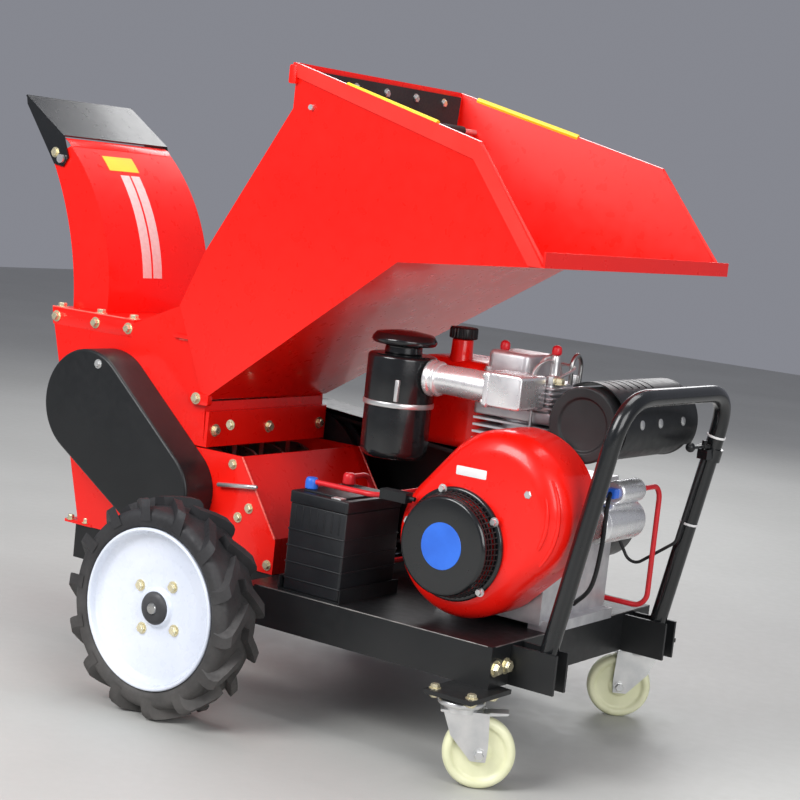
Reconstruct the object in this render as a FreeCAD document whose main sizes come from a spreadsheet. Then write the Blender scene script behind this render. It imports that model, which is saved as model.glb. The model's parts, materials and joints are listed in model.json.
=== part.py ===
import FreeCAD, Part
import Sketcher
import math
import os
import re

# Wheeled wood chipper. Row frame: +X towards the push handle, +Y to the machine's left, +Z up,
# origin on the ground, midway along and across the machine. Right-hand pieces are at -Y. Millimetres.

# ---------------------------------------------------------------------------------------------------------
# Driving dimensions
# ---------------------------------------------------------------------------------------------------------
DIMS = {
    # drive wheels and axle
    "wheel_radius": 200, "wheel_width": 100, "wheel_outer_y": 500, "carcass_radius": 182, "rim_radius": 146,
    "rim_wall": 4, "hub_radius": 32, "hub_recess": 30, "lug_count": 14, "lug_width": 22, "lug_sweep": 30,
    "axle_radius": 12.5, "running_fit": 0.05,
    # frame
    "rail_outer_y": 290, "rail_width": 40, "tail_outer_y": 186, "step_front": 92,
    "rail_low": "=2*caster_radius + 40",
    "rail_high": 235, "rail_back": -490, "rail_front": 600, "deck_back": 75, "deck_sheet": 4,
    "beam_width": 50, "beam_depth": 40, "tube_wall": 4,
    # casters
    "caster_x": 575, "caster_y": 330, "caster_radius": 62.5, "caster_tread": 32, "caster_trail": 38,
    "caster_plate": 8, "caster_plate_size": 96, "fork_sheet": 4, "fork_gap": 2, "pedal_pin": 2.4,
    "caster_pin": 6, "caster_bore": 6,
    "caster_angle_right": 34, "caster_angle_left": 214,
    # push handle
    "handle_radius": 16, "handle_half": 205, "handle_foot_x": 652, "handle_foot_z": 185,
    "handle_top_x": 750, "handle_top_z": 685, "handle_bend": 62, "bracket_sheet": 6,
    # chipping housing
    "case_half": 190, "case_sheet": 5, "case_split": 448, "case_joint": 3, "case_floor": 236,
    "case_back_low": "=drum_x - drum_radius + 43", "case_back_high": "=drum_x - drum_radius - 82",
    "case_top": 668, "case_top_front": -375,
    "case_front": -165, "belly_top": -62, "belly_front": 36, "belly_knee": 305,
    # hopper outline (side view), from the throat round to the back
    "throat_half": "=case_half + 5", "hopper_flare": 0.16, "hopper_sheet": 4, "throat_low_x": -170,
    "throat_low_z": 543, "throat_high_x": -250, "throat_high_z": 720, "floor_bend_x": 321,
    "floor_bend_z": 865, "lip_x": 645, "lip_z": 890,
    "brow_x": 492, "brow_z": 1084, "crown_x": 43, "crown_z": 1198, "nape_x": 38, "nape_z": 1116,
    "back_bend_x": -181, "back_bend_z": 835, "rim_band": 26, "rim_sheet": 4,
    "curtain_setback": 50, "curtain_sheet": 4, "curtain_drop": 300, "hinge_pin_radius": 5,
    # discharge chute
    "chute_half": 155, "chute_sheet": 3, "chute_back_x": -580, "chute_front_x": -485,
    "chute_back_mid_x": -611, "chute_back_mid_z": 835, "chute_back_end_x": -679, "chute_back_end_z": 979,
    "chute_front_mid_x": -515, "chute_front_mid_z": 850, "chute_front_end_x": -627, "chute_front_end_z": 1006,
    "chute_flange": 6,
    # deflector at the chute's mouth
    "pivot_x": -645, "pivot_z": 978, "visor_start_x": -646, "visor_start_z": 1027, "visor_tip_x": -764,
    "visor_tip_z": 1104, "visor_sheet": 3, "visor_depth": 38, "visor_gap": 2,
    # shafts and belts
    "mill_x": -220, "mill_z": "=drum_z - drum_radius - 32", "drum_x": -415, "drum_z": 500,
    "shaft_radius": 20, "drum_radius": 108,
    "drum_wall": 12, "knife_radius": "=drum_radius + 14", "knife_seat": 6, "knife_sheet": 14,
    "mill_radius": 98, "bearing_radius": 52, "bearing_depth": 18, "bearing_gap": 3,
    "mill_driven_groove": 135, "mill_small_groove": 66, "drum_groove": 84, "crank_groove": 50,
    "groove_width": 30, "flange_height": 12, "flange_sheet": 5, "belt_sheet": 8, "belt_clearance": 0.3,
    "pulley_gap": 8, "guard_sheet": 2, "guard_clearance": 12, "guard_depth_right": 80,
    "guard_depth_left": 104,
    # engine
    "crank_x": 474, "crank_z": 390, "case_x_back": 386, "case_x_front": 586, "case_y_right": -115,
    "case_y_left": 122, "engine_foot": 250, "casting_wall": 10, "can_wall": 4, "engine_top": 505,
    "barrel_x": 448, "barrel_radius": 50,
    "fin_half": 78, "fin_sheet": 4, "fin_pitch": 13, "fin_count": 7, "head_low": 598, "head_high": 672,
    "head_half_x": 84, "head_half_y": 62, "cover_high": 722,
    "shroud_radius": 136, "bulge_x": 540, "bulge_z": 460, "bulge_radius": 140, "shroud_front": -248,
    "shroud_back": -125, "shroud_sheet": 3, "shroud_round": 24, "recoil_radius": 101, "recoil_depth": 42,
    "flywheel_radius": 92, "filter_x": 236, "filter_y": -118, "filter_radius": 66, "filter_low": 497,
    "filter_high": 690, "filter_lid": 44, "intake_z": 655, "intake_radius": 25, "tank_low": 520,
    "muffler_x": 628, "muffler_z": 618, "muffler_radius": 68, "muffler_right": -122, "muffler_left": 185,
    "lead_radius": 5, "lead_bend": 28, "cable_radius": 3, "cable_bend": 24, "shield_gap": 6,
    "shield_sheet": 2, "starter_x": 640, "starter_z": 440, "starter_radius": 38,
    # battery
    "battery_x": 130, "battery_length": 130, "battery_right": -278, "battery_width": 172,
    "battery_height": 188, "post_radius": 10, "post_height": 22,
}

doc = FreeCAD.newDocument("wood_chipper")
sheet = doc.addObject("Spreadsheet::Sheet", "Dims")
for row, (alias, value) in enumerate(DIMS.items(), start=1):
    sheet.set("A%d" % row, alias)
    sheet.set("B%d" % row, str(value))
    sheet.setAlias("B%d" % row, alias)
doc.recompute()

SUBPARTS = {}
WORD = re.compile(r"[a-z]+(?:_[a-z]+)*")


def on_sheet(text):
    """An expression in which every alias of the sheet is written with the sheet's name."""
    return WORD.sub(lambda m: "Dims." + m.group(0) if m.group(0) in DIMS else m.group(0), str(text))


def bind(thing, prop, text):
    thing.setExpression(prop, on_sheet(text))


def size(alias):
    """A plain number read back from the sheet."""
    return float(sheet.get(alias))


def place(thing, x, y, z):
    for axis, text in (("x", x), ("y", y), ("z", z)):
        bind(thing, "Placement.Base." + axis, text)
    return thing


def sub_part(name, thing):
    """Registers a finished object as the sub-part NAME."""
    thing.Label = name
    SUBPARTS[name] = thing
    return thing


# ---------------------------------------------------------------------------------------------------------
# Building blocks
# ---------------------------------------------------------------------------------------------------------
def box(x, y, z):
    """A block between the low and high expressions given on each axis."""
    block = doc.addObject("Part::Box", "Block")
    for prop, (low, high) in (("Length", x), ("Width", y), ("Height", z)):
        bind(block, prop, "(%s) - (%s)" % (high, low))
    return place(block, x[0], y[0], z[0])


def hollow_box(x, y, z, wall):
    """A closed box section: a block with a cavity one wall inside it."""
    inner = [("%s + %s" % (low, wall), "%s - %s" % (high, wall)) for low, high in (x, y, z)]
    return cut(box(x, y, z), box(*inner))


TURNS = {"X": FreeCAD.Rotation(FreeCAD.Vector(0, 1, 0), 90),
         "Y": FreeCAD.Rotation(FreeCAD.Vector(1, 0, 0), -90),
         "Z": FreeCAD.Rotation()}


def rod(axis, centre, low, high, radius):
    """A cylinder along X, Y or Z from low to high; centre holds the two other coordinates in order."""
    bar = doc.addObject("Part::Cylinder", "Rod")
    bar.Placement = FreeCAD.Placement(FreeCAD.Vector(), TURNS[axis])
    bind(bar, "Radius", radius)
    bind(bar, "Height", "(%s) - (%s)" % (high, low))
    spot = list(centre)
    spot.insert("XYZ".index(axis), low)
    return place(bar, *spot)


def outline(body, plane, points):
    """A closed sketch on one of the body's planes, each corner held to the origin by two distances."""
    sketch = body.newObject("Sketcher::SketchObject", "Outline")
    face = [f for f in body.Origin.OriginFeatures if f.Role == plane][0]
    sketch.AttachmentSupport = [(face, "")]
    sketch.MapMode = "FlatFace"
    count = len(points)
    corners = [FreeCAD.Vector(value_of(u), value_of(v), 0) for u, v in points]
    for i in range(count):
        sketch.addGeometry(Part.LineSegment(corners[i], corners[(i + 1) % count]))
    for i in range(count):
        sketch.addConstraint(Sketcher.Constraint("Coincident", i, 2, (i + 1) % count, 1))
    for i, (u, v) in enumerate(points):
        for kind, text, number in (("X", u, corners[i].x), ("Y", v, corners[i].y)):
            index = sketch.addConstraint(Sketcher.Constraint("Distance" + kind, -1, 1, i, 1, number))
            bind(sketch, "Constraints[%d]" % index, text)
    return sketch


def value_of(text):
    """The number that an expression of the sheet comes to now."""
    return float(sheet.evalExpression(on_sheet(text)))


def prism(plane, points, low, high):
    """A sketch in the XZ, XY or YZ plane, padded between two distances along the third axis."""
    body = doc.addObject("PartDesign::Body", "Body")
    sketch = outline(body, plane, points)
    start = "-(%s)" % high if plane == "XZ_Plane" else low
    bind(sketch, "AttachmentOffset.Base.z", start)
    pad = body.newObject("PartDesign::Pad", "Pad")
    pad.Profile = sketch
    bind(pad, "Length", "(%s) - (%s)" % (high, low))
    body.Tip = pad
    return body


def side_plate(points, low, high):
    """A plate whose outline is drawn in side view (X, Z) and which runs from low to high in Y."""
    return prism("XZ_Plane", points, low, high)


def turned(axis, centre, profile):
    """A solid of revolution; profile holds (radius, distance along the axis) pairs about the centre."""
    body = doc.addObject("PartDesign::Body", "Body")
    if axis == "Z":
        sketch = outline(body, "XZ_Plane", profile)
    else:
        sketch = outline(body, "XY_Plane", profile)
    spin = body.newObject("PartDesign::Revolution", "Revolution")
    spin.Profile = sketch
    spin.ReferenceAxis = (sketch, ["V_Axis"])
    spin.Angle = 360
    body.Tip = spin
    if axis == "X":
        body.Placement.Rotation = FreeCAD.Rotation(FreeCAD.Vector(0, 0, 1), -90)
    return place(body, *centre)


def fuse(*pieces):
    joined = doc.addObject("Part::MultiFuse", "Joined")
    joined.Shapes = list(pieces)
    return joined


def group(*pieces):
    """Separate solids that share one node."""
    several = doc.addObject("Part::Compound", "Several")
    several.Links = list(pieces)
    return several


def cut(base, *tools):
    result = doc.addObject("Part::Cut", "Cut")
    result.Base = base
    result.Tool = tools[0] if len(tools) == 1 else group(*tools)
    return result


def shaped(shape):
    """A free-form piece whose shape is worked out here from the sheet's values."""
    piece = doc.addObject("Part::Feature", "Shaped")
    piece.Shape = shape
    piece.Placement = FreeCAD.Placement()
    return piece


def side_point(x, z, y=0.0):
    return FreeCAD.Vector(x, y, z)


def loop_face(first, first_radius, second, second_radius, y):
    """The face inside a belt that runs round two circles in the plane Y = y."""
    apart = math.hypot(second[0] - first[0], second[1] - first[1])
    heading = math.atan2(second[1] - first[1], second[0] - first[0])
    lean = math.acos((first_radius - second_radius) / apart)

    def rim_point(centre, radius, angle):
        return side_point(centre[0] + radius * math.cos(angle), centre[1] + radius * math.sin(angle), y)

    up, down = heading + lean, heading - lean
    a, b = rim_point(first, first_radius, up), rim_point(second, second_radius, up)
    c, d = rim_point(second, second_radius, down), rim_point(first, first_radius, down)
    nose = rim_point(second, second_radius, heading)
    tail = rim_point(first, first_radius, heading + math.pi)
    edges = [Part.LineSegment(a, b).toShape(), Part.Arc(b, nose, c).toShape(),
             Part.LineSegment(c, d).toShape(), Part.Arc(d, tail, a).toShape()]
    return Part.Face(Part.Wire(edges))


def loop_solid(first, first_radius, second, second_radius, low, high):
    face = loop_face(first, first_radius, second, second_radius, low)
    return face.extrude(FreeCAD.Vector(0, high - low, 0))


MILL = ("mill_x", "mill_z")
DRUM = ("drum_x", "drum_z")
CRANK = ("crank_x", "crank_z")


def spot(names):
    return (size(names[0]), size(names[1]))


# ---------------------------------------------------------------------------------------------------------
# Drive wheels
# ---------------------------------------------------------------------------------------------------------
def wheel_centre(side):
    return ("0", "%d*(wheel_outer_y - wheel_width/2)" % side, "wheel_radius")


def rim(side):
    """A dished steel disc with its barrel and a long hub, bored for a running fit on the axle."""
    half = "(wheel_width/2 - 4)"
    recess = "(wheel_width/2 - hub_recess)"
    bore = "axle_radius + running_fit"
    profile = [("rim_radius", half), ("rim_radius - rim_wall", half),
               ("rim_radius - rim_wall", half + " - 6"), ("hub_radius + 26", recess + " + 4"),
               ("hub_radius", recess), ("hub_radius", recess + " + 6"), (bore, recess + " + 6"),
               (bore, "-" + half), ("hub_radius", "-" + half), ("hub_radius", recess + " - 6"),
               ("hub_radius + 26", recess + " - 2"), ("rim_radius - rim_wall", half + " - 12"),
               ("rim_radius - rim_wall", "-" + half), ("rim_radius", "-" + half)]
    return turned("Y", wheel_centre(side), [(r, "%d*(%s)" % (side, a)) for r, a in profile])


def tyre(side):
    """The carcass turned round the rim, with a ring of V-shaped tread lugs."""
    half = "wheel_width/2"
    profile = [("rim_radius", half + " - 4"), ("rim_radius + 10", half),
               ("carcass_radius - 8", half + " - 2"),
               ("carcass_radius", half + " - 14"), ("carcass_radius", "14 - " + half),
               ("carcass_radius - 8", "2 - " + half), ("rim_radius + 10", "-" + half),
               ("rim_radius", "4 - " + half)]
    body = turned("Y", wheel_centre(side), profile)
    reach = "wheel_width/2 - 3"
    vee = [("-lug_sweep - lug_width/2", "0"), ("lug_sweep - lug_width", reach), ("lug_sweep", reach),
           ("lug_width/2 - lug_sweep", "0"), ("lug_sweep", "-(%s)" % reach),
           ("lug_sweep - lug_width", "-(%s)" % reach)]
    sketch = outline(body, "XY_Plane", vee)
    bind(sketch, "AttachmentOffset.Base.z", "carcass_radius - 6")
    lug = body.newObject("PartDesign::Pad", "Lug")
    lug.Profile = sketch
    bind(lug, "Length", "wheel_radius + 4 - (carcass_radius - 6)")
    ring = body.newObject("PartDesign::PolarPattern", "LugRing")
    ring.Originals = [lug]
    ring.Axis = ([f for f in body.Origin.OriginFeatures if f.Role == "Y_Axis"][0], [""])
    ring.Angle = 360
    bind(ring, "Occurrences", "lug_count")
    body.Tip = ring
    # the lugs' tops are trimmed to the rolling circle
    beyond = [("wheel_radius", "-wheel_width"), ("wheel_radius + 30", "-wheel_width"),
              ("wheel_radius + 30", "wheel_width"), ("wheel_radius", "wheel_width")]
    trim = outline(body, "XY_Plane", beyond)
    crown = body.newObject("PartDesign::Groove", "Crown")
    crown.Profile = trim
    crown.ReferenceAxis = (trim, ["V_Axis"])
    crown.Angle = 360
    body.Tip = crown
    return body


def drive_wheels():
    for side, hand in ((-1, "right"), (1, "left")):
        sub_part("drive_rim_" + hand, rim(side))
        sub_part("drive_tyre_" + hand, tyre(side))
    # the fixed axle, stepped up to a stout bar between the hubs
    end = "wheel_outer_y - hub_recess - 2"
    thin = rod("Y", ("0", "wheel_radius"), "-(%s)" % end, end, "axle_radius")
    inner = "wheel_outer_y - wheel_width - 6"
    stout = rod("Y", ("0", "wheel_radius"), "-(%s)" % inner, inner, "axle_radius + 6")
    sub_part("drive_axle", fuse(thin, stout))


# ---------------------------------------------------------------------------------------------------------
# Frame, deck and push handle
# ---------------------------------------------------------------------------------------------------------
def frame():
    level = ("rail_low", "rail_high")
    step_back = "step_front - beam_width"
    rails = []
    for outer, start, stop in (("rail_outer_y", step_back, "rail_front"),
                               ("tail_outer_y", "rail_back", "step_front")):
        rails.append(hollow_box((start, stop), (outer + " - rail_width", outer), level, "tube_wall"))
        rails.append(hollow_box((start, stop), ("-" + outer, "rail_width - " + outer), level, "tube_wall"))
    narrow = ("-tail_outer_y", "tail_outer_y")
    wide = ("-rail_outer_y", "rail_outer_y")
    shallow = ("rail_high - beam_depth", "rail_high")
    beams = [hollow_box(("rail_back", "rail_back + beam_width"), narrow, shallow, "tube_wall"),
             hollow_box((step_back, "step_front"), wide, level, "tube_wall"),
             hollow_box(("rail_front - beam_width", "rail_front"), wide, level, "tube_wall")]
    brackets = []
    plate_x = ("caster_x - caster_plate_size/2", "caster_x + caster_plate_size/2")
    plate_z = ("rail_low - caster_plate", "rail_low")
    inner, outer = "rail_outer_y - rail_width", "caster_y + caster_plate_size/2"
    for span in ((inner, outer), ("-(%s)" % outer, "-(%s)" % inner)):
        brackets.append(box(plate_x, span, plate_z))
    cheeks = []
    for side in (-1, 1):
        for face in (-1, 1):
            inner = "%d*handle_half + %d*(handle_radius + 0.5)" % (side, face)
            outer = "%d*handle_half + %d*(handle_radius + 0.5 + bracket_sheet)" % (side, face)
            span = (inner, outer) if face > 0 else (outer, inner)
            cheeks.append(box(("rail_front - 4", "handle_foot_x + 38"), span, ("rail_low", "rail_high")))
    body = fuse(*(rails + beams + brackets + cheeks))
    bore = rod("Y", ("0", "wheel_radius"), "-tail_outer_y - 5", "tail_outer_y + 5", "axle_radius + 6.02")
    sub_part("frame_rails", cut(body, bore))
    deck = box(("deck_back", "rail_front"), ("-rail_outer_y", "rail_outer_y"),
               ("rail_high", "rail_high + deck_sheet"))
    sub_part("deck_plate", fuse(deck, *battery_tray()))


def handle_path():
    """The push handle's centre line: two leaning legs joined by a bar, with round bends."""
    foot = side_point(size("handle_foot_x"), size("handle_foot_z"), -size("handle_half"))
    top = side_point(size("handle_top_x"), size("handle_top_z"), -size("handle_half"))
    far_top = side_point(top.x, top.z, size("handle_half"))
    far_foot = side_point(foot.x, foot.z, size("handle_half"))
    bend = size("handle_bend")
    rise = (top - foot).normalize()
    across = FreeCAD.Vector(0, 1, 0)
    edges = [Part.LineSegment(foot, top - rise * bend).toShape()]
    for corner, turn_in, turn_out in ((top, rise, across), (far_top, across, -rise)):
        start, end = corner - turn_in * bend, corner + turn_out * bend
        centre = start + turn_out * bend
        middle = centre + (corner - centre).normalize() * bend
        edges.append(Part.Arc(start, middle, end).toShape())
        if corner is top:
            edges.append(Part.LineSegment(end, far_top - across * bend).toShape())
    edges.append(Part.LineSegment(far_top - rise * bend, far_foot).toShape())
    return Part.Wire(edges)


def tube_along(path, radius):
    """A round bar swept along a path of straight runs and tangent arcs."""
    start = path.OrderedVertexes[0].Point
    heading = path.OrderedEdges[0].tangentAt(path.OrderedEdges[0].FirstParameter)
    ring = Part.Wire(Part.makeCircle(radius, start, heading))
    return path.makePipeShell([ring], True, True)


def handle():
    sub_part("handle_tube", shaped(tube_along(handle_path(), size("handle_radius"))))


# ---------------------------------------------------------------------------------------------------------
# Casters
# ---------------------------------------------------------------------------------------------------------
def caster_place(thing, side, hand):
    """Turns a caster piece, drawn with its trail towards +X, to its stored heading under the plate."""
    thing.Placement.Rotation = FreeCAD.Rotation(FreeCAD.Vector(0, 0, 1), size("caster_angle_" + hand))
    bind(thing, "Placement.Rotation.Angle", "caster_angle_" + hand)
    return place(thing, "caster_x", "%d*caster_y" % side, "0")


PEDAL_HINGE = "caster_trail + 6"


def caster_fork():
    """Swivel head, crown and two cheeks, with the wheel's pin through them."""
    top = "rail_low - caster_plate - 1"
    crown = "2*caster_radius + 6"
    gap = "caster_tread/2 + fork_gap"
    head = rod("Z", ("0", "0"), crown, top, "30")
    plate = box(("-34", "caster_trail"), ("-(%s) - fork_sheet" % gap, gap + " + fork_sheet"),
                (crown, crown + " + fork_sheet"))
    cheeks = []
    for low, high in (("-(%s) - fork_sheet" % gap, "-(%s)" % gap), (gap, gap + " + fork_sheet")):
        shape = [("-30", crown + " + fork_sheet"), ("-14", "caster_radius + 30"),
                 ("caster_trail - 14", "caster_radius - 12"), ("caster_trail + 12", "caster_radius - 12"),
                 ("caster_trail + 14", "caster_radius + 14"), ("caster_trail + 11",
                                                               crown + " + fork_sheet")]
        cheeks.append(side_plate(shape, low, high))
    pin = rod("Y", ("caster_trail", "caster_radius"), "-(%s) - fork_sheet - 5" % gap,
              gap + " + fork_sheet + 5",
              "caster_pin")
    ear_bore = rod("Y", (PEDAL_HINGE, crown), "-40", "40", "pedal_pin + running_fit")
    return cut(fuse(head, plate, pin, *cheeks), ear_bore)


def caster_wheel():
    """A nylon wheel with a crowned tread and a waisted web, bored for its pin."""
    half = "caster_tread/2"
    profile = [("caster_bore + running_fit", half), ("18", half), ("22", half + " - 5"),
               ("caster_radius - 14", half + " - 5"), ("caster_radius - 10", half),
               ("caster_radius - 2", half), ("caster_radius", half + " - 5"), ("caster_radius",
                                                                               "5 - " + half),
               ("caster_radius - 2", "-" + half), ("caster_radius - 10", "-" + half),
               ("caster_radius - 14", "5 - " + half), ("22", "5 - " + half), ("18", "-" + half),
               ("caster_bore + running_fit", "-" + half)]
    return turned("Y", ("0", "0", "0"), profile)


def caster_pedal():
    """The brake's rocking pedal over the wheel, on a pin through ears of the fork."""
    crown = "2*caster_radius + 6"
    tongue = [(PEDAL_HINGE + " - 3", crown + " - 3"), ("caster_trail + 42", crown + " + 2"),
              ("caster_trail + 44", crown + " + 6"), (PEDAL_HINGE + " - 3", crown + " + 3")]
    half = "caster_tread/2 - 2"
    reach = "caster_tread/2 + fork_gap + fork_sheet"
    return fuse(side_plate(tongue, "-(%s)" % half, half),
                rod("Y", (PEDAL_HINGE, crown), "-(%s)" % reach, reach, "pedal_pin"))


def casters():
    for side, hand in ((-1, "right"), (1, "left")):
        sub_part("caster_fork_" + hand, caster_place(caster_fork(), side, hand))
        sub_part("caster_pedal_" + hand, caster_place(caster_pedal(), side, hand))
        wheel = caster_place(caster_wheel(), side, hand)
        turn = "caster_angle_" + hand
        place(wheel, "caster_x + caster_trail*cos(%s)" % turn,
              "%d*caster_y + caster_trail*sin(%s)" % (side, turn),
              "caster_radius")
        sub_part("caster_wheel_" + hand, wheel)


# ---------------------------------------------------------------------------------------------------------
# Chipping housing
# ---------------------------------------------------------------------------------------------------------
def back_at(level):
    """The housing's sloping back edge at a height."""
    slope = "(case_back_high - case_back_low)/(case_top - case_floor)"
    return "case_back_low + %s*((%s) - case_floor)" % (slope, level)


def housing():
    upper_floor = "case_split + case_joint"
    upper = [("case_back_high", "case_top"), (back_at(upper_floor), upper_floor), ("case_front",
                                                                                   upper_floor),
             ("throat_low_x", "throat_low_z"), ("throat_high_x", "throat_high_z"),
             ("case_top_front", "case_top")]
    lower = [(back_at("case_split"), "case_split"), ("case_back_low", "case_floor"),
             ("belly_front", "case_floor"), ("belly_front", "belly_knee"), ("belly_top", "case_split")]
    for name, shape, shafts in (("upper_side_plates", upper, (DRUM,)), ("lower_side_plates", lower,
                                                                        (MILL,))):
        pair = []
        for low, high in (("-case_half", "case_sheet - case_half"), ("case_half - case_sheet",
                                                                     "case_half")):
            pair.append(side_plate(shape, low, high))
        holes = [rod("Y", shaft, "-case_half - 5", "case_half + 5", "shaft_radius + 4") for shaft in shafts]
        sub_part(name, cut(group(*pair), *holes))
    inner = ("case_sheet - case_half", "case_half - case_sheet")
    back_upper = [("case_back_high", "case_top"), (back_at(upper_floor), upper_floor),
                  (back_at(upper_floor) + " + case_sheet", upper_floor),
                  ("case_back_high + case_sheet", "case_top")]
    front_upper = [("case_front", upper_floor), ("throat_low_x", "throat_low_z - 4"),
                   ("throat_low_x - case_sheet", "throat_low_z - 4"), ("case_front - case_sheet",
                                                                       upper_floor)]
    roof = [("case_top_front", "case_top"), ("throat_high_x - 8", "throat_high_z - 4"),
            ("throat_high_x - 8", "throat_high_z - 4 - case_sheet"), ("case_top_front",
                                                                      "case_top - case_sheet")]
    hatch = box(("chute_back_x", "chute_front_x"), ("-chute_half", "chute_half"), ("case_top - 30",
                                                                                   "case_top + 5"))
    lid = box(("case_back_high + case_sheet", "case_top_front"), inner, ("case_top - case_sheet",
                                                                         "case_top"))
    flange_bar = box(("case_front", "case_front + 8"), ("-case_half", "case_half"),
                     (upper_floor, "throat_low_z - 22"))
    upper_wrap = fuse(side_plate(back_upper, *inner), side_plate(front_upper, *inner), side_plate(roof,
                                                                                                  *inner),
                      cut(lid, hatch), flange_bar)
    sub_part("upper_wrap_plates", upper_wrap)
    back_lower = [(back_at("case_split"), "case_split"), ("case_back_low", "case_floor"),
                  ("case_back_low + case_sheet", "case_floor"), (back_at("case_split") + " + case_sheet",
                                                                 "case_split")]
    front_lower = [("belly_top", "case_split"), ("belly_front", "belly_knee"), ("belly_front",
                                                                                "case_floor"),
                   ("belly_front - case_sheet", "case_floor"), ("belly_front - case_sheet",
                                                                "belly_knee - 1"),
                   ("belly_top - case_sheet", "case_split")]
    floor = box(("case_back_low + case_sheet", "belly_front - case_sheet"), inner,
                ("case_floor", "case_floor + case_sheet"))
    sub_part("lower_wrap_plates", fuse(side_plate(back_lower, *inner), side_plate(front_lower, *inner),
                                       floor))


# ---------------------------------------------------------------------------------------------------------
# Feed hopper
# ---------------------------------------------------------------------------------------------------------
def wall_face(points, offset=0.0, side=-1):
    """A flat face in a flared hopper wall: side-view points, each moved out to the wall's inner plane.

    The half width is throat_half at the throat and grows by hopper_flare for each millimetre away from it.
    """
    low, high = spot(("throat_low_x", "throat_low_z")), spot(("throat_high_x", "throat_high_z"))
    along = FreeCAD.Vector(low[0] - high[0], 0, low[1] - high[1]).normalize()
    away = FreeCAD.Vector(-along.z, 0, along.x)
    corners = []
    for x, z in points:
        distance = away.dot(side_point(x - high[0], z - high[1]))
        half = size("throat_half") + size("hopper_flare") * distance + offset
        corners.append(side_point(x, z, side * half))
    return Part.Face(Part.makePolygon(corners + corners[:1]))


def wall_plate(points, side, offset, thickness):
    """A plate on the outside of the flared inner plane, starting offset away from it."""
    return wall_face(points, offset, side).extrude(FreeCAD.Vector(0, side * thickness, 0))


def between_walls(points):
    """A side-view outline padded across the hopper and trimmed to the walls' inner planes."""
    reach = 600.0
    across = Part.Face(Part.makePolygon([side_point(x, z, -reach) for x, z in points + points[:1]]))
    solid = across.extrude(FreeCAD.Vector(0, 2 * reach, 0))
    everywhere = [(-900, 0), (1200, 0), (1200, 1800), (-900, 1800)]
    for side in (-1, 1):
        solid = solid.cut(wall_plate(everywhere, side, 0.0, 2 * reach))
    return solid


def corner_points(*names):
    """Side-view points read from the sheet: NAME_x and NAME_z."""
    return [spot((name + "_x", name + "_z")) for name in names]


def hopper():
    edge = corner_points("throat_low", "floor_bend", "lip", "brow", "crown", "nape", "back_bend",
                         "throat_high")
    wall = size("hopper_sheet")
    sides = [wall_plate(edge, side, 0.0, wall) for side in (-1, 1)]
    doc.recompute()
    holes = curtain_rod()
    doc.recompute()
    sub_part("hopper_sides", shaped(Part.makeCompound(sides).cut(holes.Shape)))
    floor = corner_points("throat_low", "floor_bend", "lip")
    floor += [(x, z + wall) for x, z in reversed(floor)]
    sub_part("hopper_floor", shaped(between_walls(floor)))
    back = corner_points("throat_high", "back_bend", "nape", "crown")
    back += [(x + wall, z) for x, z in reversed(back)]
    sub_part("hopper_back", shaped(between_walls(back)))


def hopper_rim():
    """A folded band outside each wall along the mouth, with a lip at the front and a stiffener at the crown."""
    band, sheet_gauge, wall = size("rim_band"), size("rim_sheet"), size("hopper_sheet")
    crown, brow, lip = corner_points("crown", "brow", "lip")
    strip = [crown, brow, lip, (lip[0] - band - 6, lip[1]), (brow[0] - 12, brow[1] - band - 4),
             (crown[0] + 4, crown[1] - band)]
    pieces = [wall_plate(strip, side, wall, sheet_gauge) for side in (-1, 1)]
    for low_x, high_x, low_z in ((lip[0], lip[0] + sheet_gauge, lip[1]),
                                 (crown[0] - 6, crown[0], crown[1] - band)):
        bar = [(low_x, low_z), (high_x, low_z), (high_x, low_z + band), (low_x, low_z + band)]
        reach = abs(wall_face(bar).BoundBox.YMin) + wall + sheet_gauge
        pieces.append(Part.makeBox(high_x - low_x, 2 * reach, band, side_point(low_x, low_z, -reach)))
    rim_shape = pieces[0].multiFuse(pieces[1:])
    for neighbour in ("hopper_back", "hopper_sides", "hopper_floor"):
        rim_shape = rim_shape.cut(SUBPARTS[neighbour].Shape)
    sub_part("hopper_rim", shaped(rim_shape))


def curtain_rod():
    """The rod that the curtain hangs on, through both walls, its ends standing proud of them."""
    x, z = value_of("nape_x + curtain_setback"), size("nape_z") + 4
    wall_at = max(abs(v.Y) for v in wall_face([(x, z), (x + 1, z), (x, z + 1)]).Vertexes)
    reach = "%g + hopper_sheet + 6" % wall_at
    return rod("Y", ("%g" % x, "%g" % z), "-(%s)" % reach, reach, "hinge_pin_radius")


def feed_curtain():
    """A rubber flap that hangs across the throat from a rod through both hopper walls."""
    half = "throat_half + 28"
    hang_x, hang_z = "nape_x + curtain_setback", "nape_z + 4"
    flap = box((hang_x + " - curtain_sheet/2", hang_x + " + curtain_sheet/2"), ("-(%s)" % half, half),
               (hang_z + " - curtain_drop", hang_z + " - hinge_pin_radius - 1"))
    sleeve = cut(rod("Y", (hang_x, hang_z), "-(%s)" % half, half, "hinge_pin_radius + curtain_sheet"),
                 rod("Y", (hang_x, hang_z), "-(%s) - 9" % half, half + " + 9",
                     "hinge_pin_radius + running_fit"))
    sub_part("feed_curtain", fuse(flap, sleeve))
    return curtain_rod()


# ---------------------------------------------------------------------------------------------------------
# Discharge chute and its tip deflector
# ---------------------------------------------------------------------------------------------------------
def chute_curve(name, shift, y):
    """One long edge of the chute in side view: an arc through three points, moved along X by shift."""
    foot = side_point(size("chute_%s_x" % name) + shift, size("case_top"), y)
    middle = side_point(size("chute_%s_mid_x" % name) + shift, size("chute_%s_mid_z" % name), y)
    end = side_point(size("chute_%s_end_x" % name) + shift, size("chute_%s_end_z" % name), y)
    return foot, end, Part.Arc(foot, middle, end).toShape()


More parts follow.
